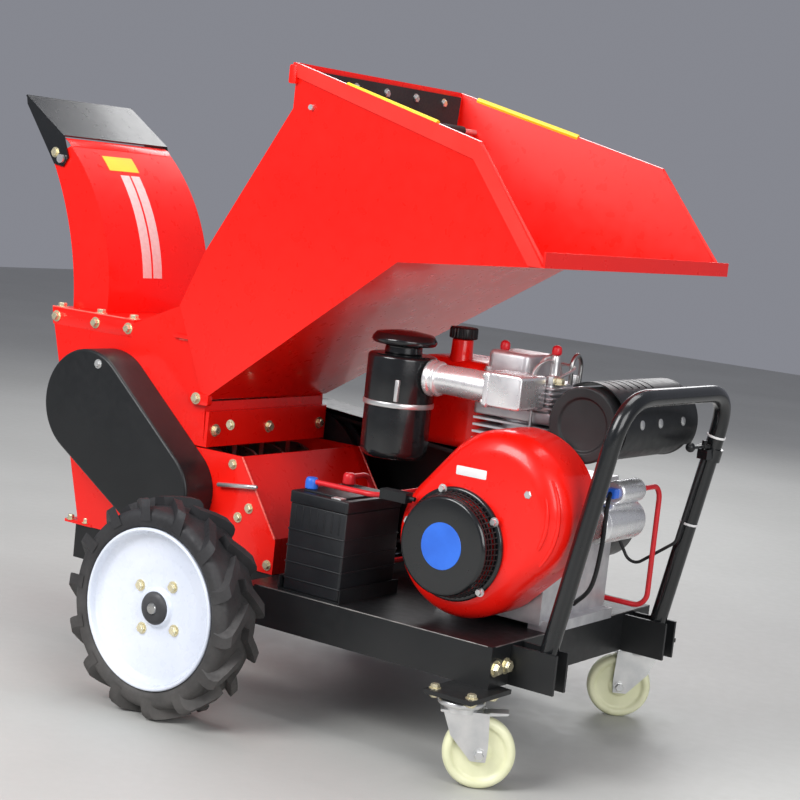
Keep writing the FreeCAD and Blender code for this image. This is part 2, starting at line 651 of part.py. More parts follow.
def between_curves(first, second, low, high):
    """The plate bounded by two chute curves, each a name and a shift, padded from low to high in Y."""
    a_foot, a_end, a = chute_curve(*first, low)
    b_foot, b_end, b = chute_curve(*second, low)
    wire = Part.Wire([a, Part.LineSegment(a_end, b_end).toShape(), b, Part.LineSegment(b_foot,
                                                                                       a_foot).toShape()])
    return Part.Face(wire).extrude(FreeCAD.Vector(0, high - low, 0))


def chute():
    half, wall = size("chute_half"), size("chute_sheet")
    back, front = ("back", 0), ("front", 0)
    back_in, front_in = ("back", wall), ("front", -wall)
    curved = Part.makeCompound([between_curves(back, back_in, wall - half, half - wall),
                                between_curves(front_in, front, wall - half, half - wall)])
    sub_part("chute_curved_plates", shaped(curved))
    sides = Part.makeCompound([between_curves(back, front, -half, wall - half),
                               between_curves(back, front, half - wall, half)])
    bolt = Part.makeCylinder(size("hinge_pin_radius"), 2 * half + 20, side_point(size("pivot_x"),
                                                                                 size("pivot_z"), -half - 10),
                             FreeCAD.Vector(0, 1, 0))
    sub_part("chute_side_plates", shaped(sides.cut(bolt)))
    plate = box(("case_back_high", "case_top_front"), ("-case_half", "case_half"),
                ("case_top", "case_top + chute_flange"))
    sub_part("chute_flange", cut(plate, shaped(between_curves(back, front, -half, half))))


def deflector():
    """The black visor at the chute's mouth: a top sheet with a cheek at each side, on two pivot bolts."""
    out = "chute_half + visor_gap + visor_sheet"
    tip = ("visor_tip_x", "visor_tip_z")
    start = ("visor_start_x", "visor_start_z")
    top = [start, tip, ("visor_tip_x - 2", "visor_tip_z - visor_sheet"),
           ("visor_start_x - 2", "visor_start_z - visor_sheet")]
    cheek = [start, tip, ("visor_tip_x + 4", "visor_tip_z - visor_depth/2"),
             ("pivot_x - 22", "pivot_z - 12"), ("pivot_x + 4", "pivot_z - 16"), ("pivot_x + 17",
                                                                                 "pivot_z + 4")]
    cheeks = []
    for low, high in (("-(%s)" % out, "-chute_half - visor_gap"), ("chute_half + visor_gap", out)):
        cheeks.append(side_plate(cheek, low, high))
    visor = fuse(side_plate(top, "-(%s)" % out, out), *cheeks)
    bore = rod("Y", ("pivot_x", "pivot_z"), "-(%s) - 5" % out, out + " + 5",
               "hinge_pin_radius + running_fit")
    sub_part("tip_deflector", cut(visor, bore))
    bolts = []
    for low, high, head_low, head_high in (("-(%s) - 1" % out, "-chute_half + 6", "-(%s) - 7" % out,
                                            "-(%s) - 1" % out),
                                           ("chute_half - 6", out + " + 1", out + " + 1", out + " + 7")):
        shank = rod("Y", ("pivot_x", "pivot_z"), low, high, "hinge_pin_radius")
        head = rod("Y", ("pivot_x", "pivot_z"), head_low, head_high, "9")
        bolts.append(fuse(shank, head))
    return bolts


# ---------------------------------------------------------------------------------------------------------
# Rotors, bearings, belts and guards
# ---------------------------------------------------------------------------------------------------------
def pulley(centre, groove, start, bore):
    """A flat-grooved pulley with a flange at each side; start is its low face in Y."""
    wide = "groove_width"
    rim_line = "%s + flange_height" % groove
    profile = [(bore, "0"), (rim_line, "0"), (rim_line, "flange_sheet"), (groove, "flange_sheet"),
               (groove, "flange_sheet + " + wide), (rim_line, "flange_sheet + " + wide),
               (rim_line, "2*flange_sheet + " + wide), (bore, "2*flange_sheet + " + wide)]
    return turned("Y", (centre[0], start, centre[1]), profile)


PULLEY_WIDTH = "(groove_width + 2*flange_sheet)"
BEARING_FACE = "(case_half + bearing_gap + bearing_depth)"
RIGHT_PULLEY = "-%s - pulley_gap - %s" % (BEARING_FACE, PULLEY_WIDTH)
LEFT_PULLEY = "%s + pulley_gap" % BEARING_FACE


def rotors():
    right_end = "%s - 6" % RIGHT_PULLEY
    left_end = "%s + %s + 6" % (LEFT_PULLEY, PULLEY_WIDTH)
    inside = "case_half - case_sheet - 6"
    # mill: shaft, four plates of swing hammers on cross bars
    shaft = rod("Y", MILL, right_end, left_end, "shaft_radius")
    plates = []
    for i in range(5):
        start = "-(%s) + %d*(2*(%s) - 8)/4" % (inside, i, inside)
        plates.append(rod("Y", MILL, start, start + " + 8", "mill_radius - 26"))
    hammers = []
    for i in range(4):
        row = "-(%s) + 8 + (%d + 0.5)*(2*(%s) - 8)/4" % (inside, i, inside)
        hammers.append(box(("mill_x - mill_radius", "mill_x + mill_radius"), (row + " - 9", row + " + 5"),
                           ("mill_z - 14", "mill_z + 14")))
        hammers.append(box(("mill_x - 14", "mill_x + 14"), (row + " - 9", row + " + 5"),
                           ("mill_z - mill_radius", "mill_z + mill_radius")))
    sub_part("mill_rotor", fuse(shaft, *(plates + hammers)))
    sub_part("mill_pulleys", group(pulley(MILL, "mill_small_groove", RIGHT_PULLEY, "shaft_radius"),
                                   pulley(MILL, "mill_driven_groove", LEFT_PULLEY, "shaft_radius")))
    # chipping drum: a hollow barrel with four slots, a knife seated in each
    core = rod("Y", DRUM, "-(%s)" % inside, inside, "drum_radius")
    hollow = rod("Y", DRUM, "drum_wall - (%s)" % inside, "(%s) - drum_wall" % inside,
                 "drum_radius - drum_wall")
    arbor = rod("Y", DRUM, right_end, "case_half + bearing_gap + bearing_depth + 4", "shaft_radius")
    wheel = pulley(DRUM, "drum_groove", RIGHT_PULLEY, "shaft_radius - 1")
    sub_part("chipper_drum", fuse(cut(core, hollow, *knife_bars(inside)), arbor, wheel))
    sub_part("drum_knives", group(*knife_bars(inside)))


def knife_bars(inside):
    """Four bars across the drum, one at each quarter turn, each from its slot's floor to the knives' circle."""
    along = ("-(%s) + 4" % inside, "(%s) - 4" % inside)
    bars = []
    for toward in (-1, 1):
        ends = ["%s + %d*(drum_radius - knife_seat)", "%s + %d*knife_radius"][::toward]
        in_x = tuple(end % ("drum_x", toward) for end in ends)
        in_z = tuple(end % ("drum_z", toward) for end in ends)
        bars.append(box(in_x, along, ("drum_z - knife_sheet/2", "drum_z + knife_sheet/2")))
        bars.append(box(("drum_x - knife_sheet/2", "drum_x + knife_sheet/2"), along, in_z))
    return bars


def bearings():
    """Four flanged bearing units on the outside of the housing's side plates."""
    units = []
    bore = "shaft_radius + running_fit"
    for shaft in (MILL, DRUM):
        for side in (-1, 1):
            profile = [(bore, "0"), ("bearing_radius", "0"), ("bearing_radius", "6"),
                       ("bearing_radius - 18", "10"),
                       ("bearing_radius - 22", "bearing_depth"), (bore, "bearing_depth")]
            mirrored = [(r, "%d*(%s)" % (side, a)) for r, a in profile]
            units.append(turned("Y", (shaft[0], "%d*case_half" % side, shaft[1]), mirrored))
    sub_part("shaft_bearings", group(*units))


def anvil():
    """The bed knife across the throat's lower edge, a set gap from the knives' circle."""
    gap = "drum_x + knife_radius + 3"
    inner = ("case_sheet - case_half", "case_half - case_sheet")
    sub_part("anvil_bar", box((gap, gap + " + 46"), inner, ("drum_z - 26", "drum_z - 12")))


def belts():
    run = size("groove_width") - 4
    for name, first, first_groove, second, second_groove, start in (
            ("main_belt", MILL, "mill_driven_groove", CRANK, "crank_groove", LEFT_PULLEY),
            ("transfer_belt", MILL, "mill_small_groove", DRUM, "drum_groove", RIGHT_PULLEY)):
        low = value_of(start) + size("flange_sheet") + 2
        inner = [size(g) + size("belt_clearance") for g in (first_groove, second_groove)]
        outer = [r + size("belt_sheet") for r in inner]
        band = loop_solid(spot(first), outer[0], spot(second), outer[1], low, low + run)
        hole = loop_solid(spot(first), inner[0], spot(second), inner[1], low - 1, low + run + 1)
        sub_part(name, shaped(band.cut(hole)))


def belt_guards():
    wall, gap = size("guard_sheet"), size("guard_clearance") + size("flange_height")
    for name, first, first_groove, second, second_groove, side, depth in (
            ("belt_guard_right", MILL, "mill_small_groove", DRUM, "drum_groove", -1, "guard_depth_right"),
            ("belt_guard_left", MILL, "mill_driven_groove", CRANK, "crank_groove", 1, "guard_depth_left")):
        radii = [size(g) + gap for g in (first_groove, second_groove)]
        # the shell stands just off the bearing flanges' side of the housing and is closed outboard
        inboard, outboard = size("case_half") + 1, size("case_half") + 1 + size(depth)
        shell = loop_solid(spot(first), radii[0] + wall, spot(second), radii[1] + wall, inboard, outboard)
        room = loop_solid(spot(first), radii[0], spot(second), radii[1], inboard - 1, outboard - wall)
        cover = shell.cut(room)
        if side < 0:
            cover = cover.mirror(FreeCAD.Vector(), FreeCAD.Vector(0, 1, 0))
        sub_part(name, shaped(cover))


# ---------------------------------------------------------------------------------------------------------
# Engine
# ---------------------------------------------------------------------------------------------------------
def crankcase():
    block = hollow_box(("case_x_back", "case_x_front"), ("case_y_right", "case_y_left"),
                       ("engine_foot", "engine_top"), "casting_wall")
    feet = []
    for low in ("case_x_back - 22", "case_x_front - 26"):
        feet.append(box((low, low + " + 48"), ("case_y_right + 6", "case_y_left - 6"),
                        ("rail_high + deck_sheet", "engine_foot + 8")))
    nose = rod("Y", CRANK, "case_y_left", "case_y_left + 34", "46")
    bore = rod("Y", CRANK, "case_y_right - 5", "case_y_left + 60", "shaft_radius + running_fit")
    sub_part("crankcase", cut(fuse(block, nose, *feet), bore))


def engine_top_end():
    barrel = rod("Z", ("barrel_x", "0"), "engine_top", "head_low", "barrel_radius")
    fins = []
    for i in range(DIMS["fin_count"]):
        low = "engine_top + 6 + %d*fin_pitch" % i
        fins.append(box(("barrel_x - fin_half", "barrel_x + fin_half"), ("-fin_half + 12", "fin_half - 12"),
                        (low, low + " + fin_sheet")))
    sub_part("cylinder_barrel", fuse(barrel, *fins))
    head = box(("barrel_x - head_half_x", "barrel_x + head_half_x"), ("-head_half_y", "head_half_y"),
               ("head_low", "head_high"))
    cover = box(("barrel_x - head_half_x + 14", "barrel_x + 20"), ("-head_half_y + 14", "head_half_y - 14"),
                ("head_high", "cover_high"))
    breather = rod("Z", ("barrel_x - 30", "0"), "cover_high", "cover_high + 14", "13")
    # injector and fuel line union beside the cover
    stem = rod("Z", ("barrel_x + 54", "-16"), "head_high", "head_high + 58", "9")
    cap = rod("Z", ("barrel_x + 54", "-16"), "head_high + 58", "head_high + 70", "14")
    sub_part("cylinder_head", fuse(head, cover, breather, stem, cap))


def fan_shroud():
    """The fan housing: a rolled shell, open at the back and round the recoil cover at the front."""
    wall, front, back = size("shroud_sheet"), size("shroud_front"), size("shroud_back")
    centre, bulge = spot(CRANK), (size("bulge_x"), size("bulge_z"))
    small, large = size("shroud_radius"), size("bulge_radius")
    shell = loop_solid(centre, small, bulge, large, front, back)
    front_edges = [e for e in shell.Edges if abs(e.BoundBox.YMax - front) < 0.01 and e.BoundBox.YLength < 0.01]
    shell = shell.makeFillet(size("shroud_round"), front_edges)
    room = loop_solid(centre, small - wall, bulge, large - wall, front + wall, back + 1)
    inner_edges = [e for e in room.Edges if abs(e.BoundBox.YMax - front - wall) < 0.01 and e.BoundBox.YLength < 0.01]
    room = room.makeFillet(size("shroud_round") - wall, inner_edges)
    mouth = Part.makeCylinder(size("recoil_radius") - 8, 40, side_point(*centre, front - 20),
                              FreeCAD.Vector(0, 1, 0))
    sub_part("fan_shroud", shaped(shell.cut(room).cut(mouth)))


def recoil():
    """The recoil starter's round cover, a thin cup with a rim, a ring of slots left in its wall."""
    profile = [("recoil_radius", "0"), ("recoil_radius", "-6"), ("recoil_radius - 4", "-8"),
               ("recoil_radius - 6", "10 - recoil_depth"), ("recoil_radius - 16", "-recoil_depth"),
               ("0", "-recoil_depth"),
               ("0", "3 - recoil_depth"), ("recoil_radius - 17", "3 - recoil_depth"),
               ("recoil_radius - 9", "11 - recoil_depth"), ("recoil_radius - 7", "0")]
    cup = turned("Y", ("crank_x", "shroud_front", "crank_z"), profile)
    slots = []
    for i in range(24):
        slot = box(("recoil_radius - 14", "recoil_radius + 2"), ("shroud_front - recoil_depth + 13",
                                                                 "shroud_front - 11"),
                   ("-3.5", "3.5"))
        holder = group(slot)
        turn = FreeCAD.Rotation(FreeCAD.Vector(0, 1, 0), 15 * i)
        holder.Placement = FreeCAD.Placement(FreeCAD.Vector(), turn)
        slots.append(place(holder, "crank_x", "0", "crank_z"))
    sub_part("recoil_cover", cut(cup, *slots))
    grip_x, grip_z, grip_y = "crank_x - recoil_radius - 17", "crank_z + 66", "shroud_front - 22"
    bar = box((grip_x + " - 28", grip_x + " + 28"), (grip_y + " - 11", grip_y + " + 11"),
              (grip_z + " - 9", grip_z + " + 9"))
    neck = rod("X", (grip_y, grip_z), grip_x + " + 28", "crank_x - recoil_radius + 24", "4")
    sub_part("recoil_grip", fuse(bar, neck))


def crankshaft():
    shaft = rod("Y", CRANK, "shroud_front + 14", "%s + %s + 6" % (LEFT_PULLEY, PULLEY_WIDTH),
                "shaft_radius")
    wheel = rod("Y", CRANK, "shroud_back - 50", "shroud_back - 6", "flywheel_radius - 14")
    blades = []
    for i in range(12):
        blade = box(("flywheel_radius - 24", "flywheel_radius"), ("shroud_back - 50", "shroud_back - 22"),
                    ("-2.5", "2.5"))
        holder = group(blade)
        holder.Placement = FreeCAD.Placement(FreeCAD.Vector(), FreeCAD.Rotation(FreeCAD.Vector(0, 1, 0),
                                                                                30 * i))
        blades.append(place(holder, "crank_x", "0", "crank_z"))
    output = pulley(CRANK, "crank_groove", LEFT_PULLEY, "shaft_radius - 1")
    sub_part("crank_flywheel", fuse(shaft, wheel, output, *blades))


def air_filter():
    spot_xy = ("filter_x", "filter_y")
    bowl = [("0", "filter_low"), ("filter_radius - 16", "filter_low"), ("filter_radius - 3",
                                                                        "filter_low + 12"),
            ("filter_radius - 3", "filter_low + 60"), ("filter_radius", "filter_low + 66"),
            ("filter_radius", "filter_high"), ("0", "filter_high")]
    chamber = rod("Z", spot_xy, "filter_low + can_wall", "filter_high - can_wall",
                  "filter_radius - 16 - can_wall")
    sub_part("filter_bowl", cut(turned("Z", (*spot_xy, "0"), bowl), chamber))
    lid = [("0", "filter_high"), ("filter_radius + 4", "filter_high"), ("filter_radius + 4",
                                                                        "filter_high + 16"),
           ("filter_radius - 14", "filter_high + 26"), ("filter_radius - 18", "filter_high + filter_lid"),
           ("0", "filter_high + filter_lid")]
    sub_part("filter_lid", turned("Z", (*spot_xy, "0"), lid))
    pipe = rod("X", ("filter_y", "intake_z"), "filter_x + filter_radius + 3", "barrel_x + 14",
               "intake_radius")
    collar = rod("X", ("filter_y", "intake_z"), "filter_x + filter_radius + 1",
                 "filter_x + filter_radius + 11",
                 "intake_radius + 9")
    port = box(("barrel_x - 6", "barrel_x + 66"), ("filter_y - 30", "-head_half_y"), ("intake_z - 33",
                                                                                      "head_high - 4"))
    sub_part("intake_elbow", fuse(pipe, collar, port))


def fuel_tank():
    tank_x = ("filter_x - 34", "barrel_x - fin_half - 8")
    shell = box(tank_x, ("-30", "150"), ("tank_low", "head_high + 14"))
    soft = doc.addObject("Part::Fillet", "Soft")
    soft.Base = shell
    doc.recompute()
    soft.Edges = [(i + 1, 14.0, 14.0) for i in range(len(shell.Shape.Edges))]
    neck = rod("Z", ("filter_x + 52", "0"), "head_high + 10", "head_high + 52", "20")
    inside = box((tank_x[0] + " + can_wall", tank_x[1] + " - can_wall"), ("-30 + can_wall",
                                                                          "150 - can_wall"),
                 ("tank_low + can_wall", "head_high + 14 - can_wall"))
    sub_part("fuel_tank", cut(fuse(soft, neck), inside))
    cap = rod("Z", ("filter_x + 52", "0"), "head_high + 52.3", "head_high + 74", "27")
    sub_part("fuel_cap", cap)


def muffler():
    axis = ("muffler_x", "muffler_z")
    drum = [("0", "muffler_right + 5"), ("muffler_radius - 12", "muffler_right + 5"),
            ("muffler_radius - 10", "muffler_right"), ("muffler_radius - 3", "muffler_right"),
            ("muffler_radius", "muffler_right + 4"), ("muffler_radius", "muffler_left - 4"),
            ("muffler_radius - 4", "muffler_left"), ("0", "muffler_left")]
    body = turned("Y", (axis[0], "0", axis[1]), drum)
    neck = rod("X", ("0", "head_low + 40"), "barrel_x + head_half_x", "muffler_x - muffler_radius + 10",
               "18")
    chamber = rod("Y", axis, "muffler_right + 5 + can_wall", "muffler_left - can_wall",
                  "muffler_radius - 10 - can_wall")
    sub_part("muffler_drum", cut(fuse(body, neck), chamber))
    gap, wall = size("shield_gap"), size("shield_sheet")
    inner = size("muffler_radius") + gap
    centre = side_point(size("muffler_x"), size("muffler_z"), size("muffler_right") + 26)
    length = size("muffler_left") - size("muffler_right") - 30
    along = FreeCAD.Vector(0, 1, 0)
    ring = Part.makeCylinder(inner + wall, length, centre, along).cut(Part.makeCylinder(inner, length,
                                                                                        centre, along))
    keep = Part.makeBox(inner * 2.4, length + 2, inner * 2.4)
    keep.translate(FreeCAD.Vector(centre.x - inner * 0.55, centre.y - 1, centre.z - inner * 0.5))
    shield = ring.common(keep)
    for i in range(6):
        slot = Part.makeBox(44, 6, 60)
        slot.translate(FreeCAD.Vector(centre.x - 8, centre.y + 26 + 26 * i, centre.z + inner - 16))
        shield = shield.cut(slot)
    sub_part("muffler_shield", shaped(shield))


def starter():
    axis = ("starter_x", "starter_z")
    motor = rod("Y", axis, "-70", "84", "starter_radius")
    nose = rod("Y", axis, "84", "100", "starter_radius - 16")
    solenoid = rod("Y", ("starter_x + 14", "starter_z + starter_radius + 18"), "-20", "70", "22")
    arm = box(("case_x_front", "starter_x"), ("-30", "20"), ("starter_z - 20", "starter_z + 20"))
    sub_part("starter_motor", fuse(motor, nose, solenoid, arm))


# ---------------------------------------------------------------------------------------------------------
# Battery, leads and throttle
# ---------------------------------------------------------------------------------------------------------
BATTERY_FLOOR = "(rail_high + deck_sheet + 3)"


def battery_tray():
    """A shallow tray welded on the deck: a base and an upstand at each end."""
    across = ("battery_right - 4", "battery_right + battery_width + 6")
    base = box(("battery_x - 6", "battery_x + battery_length + 6"), across, ("rail_high + deck_sheet",
                                                                             BATTERY_FLOOR))
    upstand = (BATTERY_FLOOR, BATTERY_FLOOR + " + 24")
    return [base, box(("battery_x - 6", "battery_x - 3"), across, upstand),
            box(("battery_x + battery_length + 3", "battery_x + battery_length + 6"), across, upstand)]


def battery():
    x = ("battery_x", "battery_x + battery_length")
    y = ("battery_right", "battery_right + battery_width")
    floor = BATTERY_FLOOR
    case = box(x, y, (floor, floor + " + battery_height"))
    lid = box(("battery_x - 1.5", "battery_x + battery_length + 1.5"),
              ("battery_right - 1.5", "battery_right + battery_width + 1.5"),
              (floor + " + battery_height - 26", floor + " + battery_height - 4"))
    sub_part("battery_case", fuse(case, lid))
    top = floor + " + battery_height"
    posts = []
    for post_y in ("battery_right + 28", "battery_right + battery_width - 28"):
        posts.append(rod("Z", ("battery_x + 24", post_y), top, top + " + post_height", "post_radius"))
    sub_part("battery_terminals", group(*posts))


def bent_bar(points, radius, bend):
    """A round cable through the points given as expressions: straight runs joined by tangent arcs."""
    corners = [FreeCAD.Vector(*(value_of(c) for c in point)) for point in points]
    edges, last = [], corners[0]
    for before, corner, after in zip(corners, corners[1:], corners[2:]):
        turn_in, turn_out = (corner - before).normalize(), (after - corner).normalize()
        reach = bend * math.tan(turn_in.getAngle(turn_out) / 2)
        start, end = corner - turn_in * reach, corner + turn_out * reach
        inward = (turn_out - turn_in).normalize()
        centre = corner + inward * (bend / math.cos(turn_in.getAngle(turn_out) / 2))
        middle = centre - inward * bend
        edges += [Part.LineSegment(last, start).toShape(), Part.Arc(start, middle, end).toShape()]
        last = end
    edges.append(Part.LineSegment(last, corners[-1]).toShape())
    return tube_along(Part.Wire(edges), radius)


def battery_leads():
    """The live lead runs along the deck to the starter; the earth lead goes to the crankcase."""
    tap = BATTERY_FLOOR + " + battery_height + 14"
    post_x = "battery_x + 24"
    low = "rail_high + deck_sheet + 24"
    lane = "case_y_left + 40"
    end_z = "starter_z + starter_radius + 18"
    live = [(post_x, "battery_right + battery_width - 28 + post_radius", tap),
            (post_x, "battery_right + battery_width + 44", tap),
            (post_x, "battery_right + battery_width + 44", low),
            (post_x, lane, low), ("starter_x + 14", lane, low), ("starter_x + 14", lane, end_z),
            ("starter_x + 14", "70", end_z)]
    earth_z = "crank_z - 10"
    earth = [(post_x + " + post_radius", "battery_right + 28", tap),
             ("battery_x + battery_length + 44", "battery_right + 28", tap),
             ("battery_x + battery_length + 44", "-60", tap), ("battery_x + battery_length + 44", "-60",
                                                               earth_z),
             ("case_x_back", "-60", earth_z)]
    bars = [bent_bar(route, size("lead_radius"), size("lead_bend")) for route in (live, earth)]
    sub_part("battery_leads", shaped(Part.makeCompound(bars)))


def throttle():
    """A friction lever on the far leg of the handle, in its clamp."""
    rise = (size("handle_top_x") - size("handle_foot_x")) / (size("handle_top_z") - size("handle_foot_z"))
    level = size("handle_top_z") - 130
    centre_x = size("handle_foot_x") + rise * (level - size("handle_foot_z"))
    leg_y = size("handle_half")
    tube = size("handle_radius")
    lean = FreeCAD.Vector(rise, 0, 1).normalize()
    foot = FreeCAD.Vector(centre_x, leg_y, level)
    clamp = Part.makeCylinder(tube + 4, 24, foot, lean)
    ear = Part.makeBox(20, 26, 18)
    ear.translate(FreeCAD.Vector(centre_x - 6, leg_y - tube - 26, level + 4))
    clamp = clamp.fuse(ear).cut(Part.makeCylinder(tube, 60, foot - lean * 20, lean))
    pin = FreeCAD.Vector(centre_x + 2, leg_y - tube - 16, level + 22)
    post = Part.makeCylinder(5, 16, pin, FreeCAD.Vector(0, 0, 1))
    sub_part("throttle_clamp", shaped(clamp.fuse(post)))
    hub = Part.makeCylinder(11, 6, pin + FreeCAD.Vector(0, 0, 3), FreeCAD.Vector(0, 0, 1))
    arm = Part.makeBox(12, 52, 5)
    arm.translate(pin + FreeCAD.Vector(-6, -56, 3.5))
    knob = Part.makeSphere(9, pin + FreeCAD.Vector(0, -58, 6))
    bore = Part.makeCylinder(5 + size("running_fit"), 40, pin - FreeCAD.Vector(0, 0, 10),
                             FreeCAD.Vector(0, 0, 1))
    sub_part("throttle_lever", shaped(hub.fuse([arm, knob]).cut(bore)))
    # the cable leaves the clamp's ear beside the leg and ends on the governor side of the crankcase
    start = FreeCAD.Vector(centre_x + 4, leg_y - tube - 14, level + 4)
    lane = "%g" % start.y
    route = [("%g" % start.x, lane, "%g" % start.z), ("%g" % (start.x - 36), lane, "%g" % (start.z - 165)),
             ("case_x_front + 20", lane, "crank_z - 60"), ("case_x_front - 26", lane, "crank_z + 10"),
             ("case_x_front - 26", "case_y_left", "crank_z + 24")]
    sub_part("throttle_cable", shaped(bent_bar(route, size("cable_radius"), size("cable_bend"))))


def hinge_pins():
    """The curtain's rod and the deflector's two pivot bolts."""
    sub_part("hinge_pins", group(feed_curtain(), *deflector()))


def fasteners():
    """Zinc bolts with nuts on the chute flange, the front flange bar and the frame's end."""
    bolts = []
    lift = "case_top + chute_flange"
    for x in ("case_back_high + 14", "chute_front_x + 16", "case_top_front - 14"):
        for y in ("14 - case_half", "case_half - 14"):
            bolts.append(rod("Z", (x, y), lift, lift + " + 7", "8"))
    bar_x = "case_front + 8"
    for y in ("22 - case_half", "0", "case_half - 22"):
        bolts.append(rod("X", (y, "case_split + 36"), bar_x, bar_x + " + 7", "8"))
    for y in ("16 - rail_outer_y", "50 - rail_outer_y", "rail_outer_y - 50", "rail_outer_y - 16"):
        bolts.append(rod("X", (y, "(rail_low + rail_high)/2"), "rail_front", "rail_front + 7", "8"))
    sub_part("frame_bolts", group(*bolts))


# ---------------------------------------------------------------------------------------------------------
# Build, check and write
# ---------------------------------------------------------------------------------------------------------
for make in (drive_wheels, frame, handle, casters, housing, hopper, hopper_rim, chute, hinge_pins,
             rotors, bearings, anvil, belts, belt_guards, crankcase, engine_top_end, fan_shroud, recoil,
             crankshaft,
             air_filter, fuel_tank, muffler, starter, battery, battery_leads, throttle, fasteners):
    make()
doc.recompute()

faults = [thing.Name for thing in doc.Objects if {"Invalid", "Error"} & set(thing.State)]
faults += [name for name, thing in SUBPARTS.items() if thing.Shape.isNull() or not thing.Shape.isValid()]
if faults:
    raise RuntimeError("objects that did not build: " + ", ".join(faults))

os.makedirs("parts", exist_ok=True)
for name, thing in SUBPARTS.items():
    thing.Shape.exportStep("parts/%s.step" % name)
print(len(SUBPARTS), "sub-parts written")
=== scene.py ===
# %% [markdown]
# # A wheeled wood chipper and its finishes
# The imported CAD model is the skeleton: it fixes every place, size and joint. This lesson keeps it still and
# gives it looks. Plates and castings that are already right get a painted or metal finish. Turned, rolled and
# pressed pieces, such as tyres, the fan shroud and the air filter, are made again as smooth surfaces.

# %% Load the frame
import json
import math

import bmesh
import bpy
import numpy as np
from mathutils import Matrix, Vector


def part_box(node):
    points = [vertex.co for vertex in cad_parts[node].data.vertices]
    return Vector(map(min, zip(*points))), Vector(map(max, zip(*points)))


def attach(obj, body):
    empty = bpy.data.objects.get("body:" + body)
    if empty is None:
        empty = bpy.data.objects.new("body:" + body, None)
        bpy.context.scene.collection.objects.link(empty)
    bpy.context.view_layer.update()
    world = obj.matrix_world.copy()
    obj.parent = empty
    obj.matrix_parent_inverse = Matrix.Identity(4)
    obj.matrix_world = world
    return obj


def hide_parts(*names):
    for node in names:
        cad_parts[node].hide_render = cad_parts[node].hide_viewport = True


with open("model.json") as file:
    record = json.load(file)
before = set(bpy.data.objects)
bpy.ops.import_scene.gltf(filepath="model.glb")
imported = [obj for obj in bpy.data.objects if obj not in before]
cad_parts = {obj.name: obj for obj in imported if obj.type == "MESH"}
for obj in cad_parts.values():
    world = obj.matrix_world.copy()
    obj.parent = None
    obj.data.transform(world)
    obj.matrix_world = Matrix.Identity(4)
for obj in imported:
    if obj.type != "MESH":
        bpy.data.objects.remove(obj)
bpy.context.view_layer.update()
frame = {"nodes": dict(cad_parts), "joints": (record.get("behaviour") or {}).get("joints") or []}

joints = {joint["name"]: joint for joint in frame["joints"]}

# %% [markdown]
# Every new piece is a shell: an array of points and a list of faces. One grid of quads serves for them all,
# because a lathe, a tube and a pressed pan differ only in where the rows of the grid stand.


# %% Grids of points
def skin(grid, closed=False, capped=True):
    """Quads between neighbouring rings: row r, column c joins r+1 and c+1, and the columns wrap round.

    A closed skin also joins its last ring to its first; a capped one gets a face over each end ring.
    """
    rows, columns = grid.shape[:2]
    row, column = np.meshgrid(np.arange(rows if closed else rows - 1), np.arange(columns), indexing="ij")
    row, column = row.ravel(), column.ravel()
    next_row, next_column = (row + 1) % rows, (column + 1) % columns
    corners = (row * columns + column, row * columns + next_column,
               next_row * columns + next_column, next_row * columns + column)
    faces = np.stack(corners, 1).tolist()
    if capped and not closed:
        faces.append(list(range(columns)))
        faces.append(list(range((rows - 1) * columns, rows * columns)))
    return grid.reshape(-1, 3), faces


def basis(axis):
    """Three unit vectors at right angles, the first along the axis."""
    along = np.array(axis, float) / np.linalg.norm(axis)
    helper = np.array((0.0, 0.0, 1.0)) if abs(along[2]) < 0.9 else np.array((1.0, 0.0, 0.0))
    first = np.cross(helper, along)
    first /= np.linalg.norm(first)
    return along, first, np.cross(along, first)


def lathe(profile, centre, axis=(0, 1, 0), sides=64, closed=False):
    """Turns (radius, distance) pairs: point = centre + distance*axis + radius*(cos t, sin t)."""
    profile = np.array(profile, float)
    along, first, second = basis(axis)
    turn = np.linspace(0, 2 * np.pi, sides, endpoint=False)
    ring = np.outer(np.cos(turn), first) + np.outer(np.sin(turn), second)
    grid = profile[:, 0, None, None] * ring + profile[:, 1, None, None] * along + np.array(centre, float)
    return skin(grid, closed, capped=False)


def rounded(points, radius, steps=5, closed=True):
    """Each corner P becomes (1-t)^2 A + 2t(1-t) P + t^2 B, with A and B a radius before and after it."""
    points = np.array(points, float)
    back, ahead = np.roll(points, 1, 0) - points, np.roll(points, -1, 0) - points
    back_length = np.linalg.norm(back, axis=1, keepdims=True)
    ahead_length = np.linalg.norm(ahead, axis=1, keepdims=True)
    reach = np.minimum(radius, 0.45 * np.minimum(back_length, ahead_length))
    start, end = points + back / back_length * reach, points + ahead / ahead_length * reach
    t = np.linspace(0, 1, steps)[None, :, None]
    curve = (1 - t) ** 2 * start[:, None] + 2 * t * (1 - t) * points[:, None] + t * t * end[:, None]
    if closed:
        return curve.reshape(-1, points.shape[1])
    return np.concatenate([points[:1], curve[1:-1].reshape(-1, points.shape[1]), points[-1:]])


def through(points, per_span=8):
    """A smooth path: on each span, the cubic whose ends lean along the chord of their neighbours."""
    p = np.array(points, float)
    p = np.concatenate([2 * p[:1] - p[1:2], p, 2 * p[-1:] - p[-2:-1]])
    t = np.linspace(0, 1, per_span, endpoint=False)[None, :, None]
    a, b, c, d = (p[i:len(p) - 3 + i, None] for i in range(4))
    spans = 0.5 * (2 * b + (c - a) * t + (2 * a - 5 * b + 4 * c - d) * t ** 2
                   + (3 * b - a - 3 * c + d) * t ** 3)
    return np.concatenate([spans.reshape(-1, 3), p[-2:-1]])


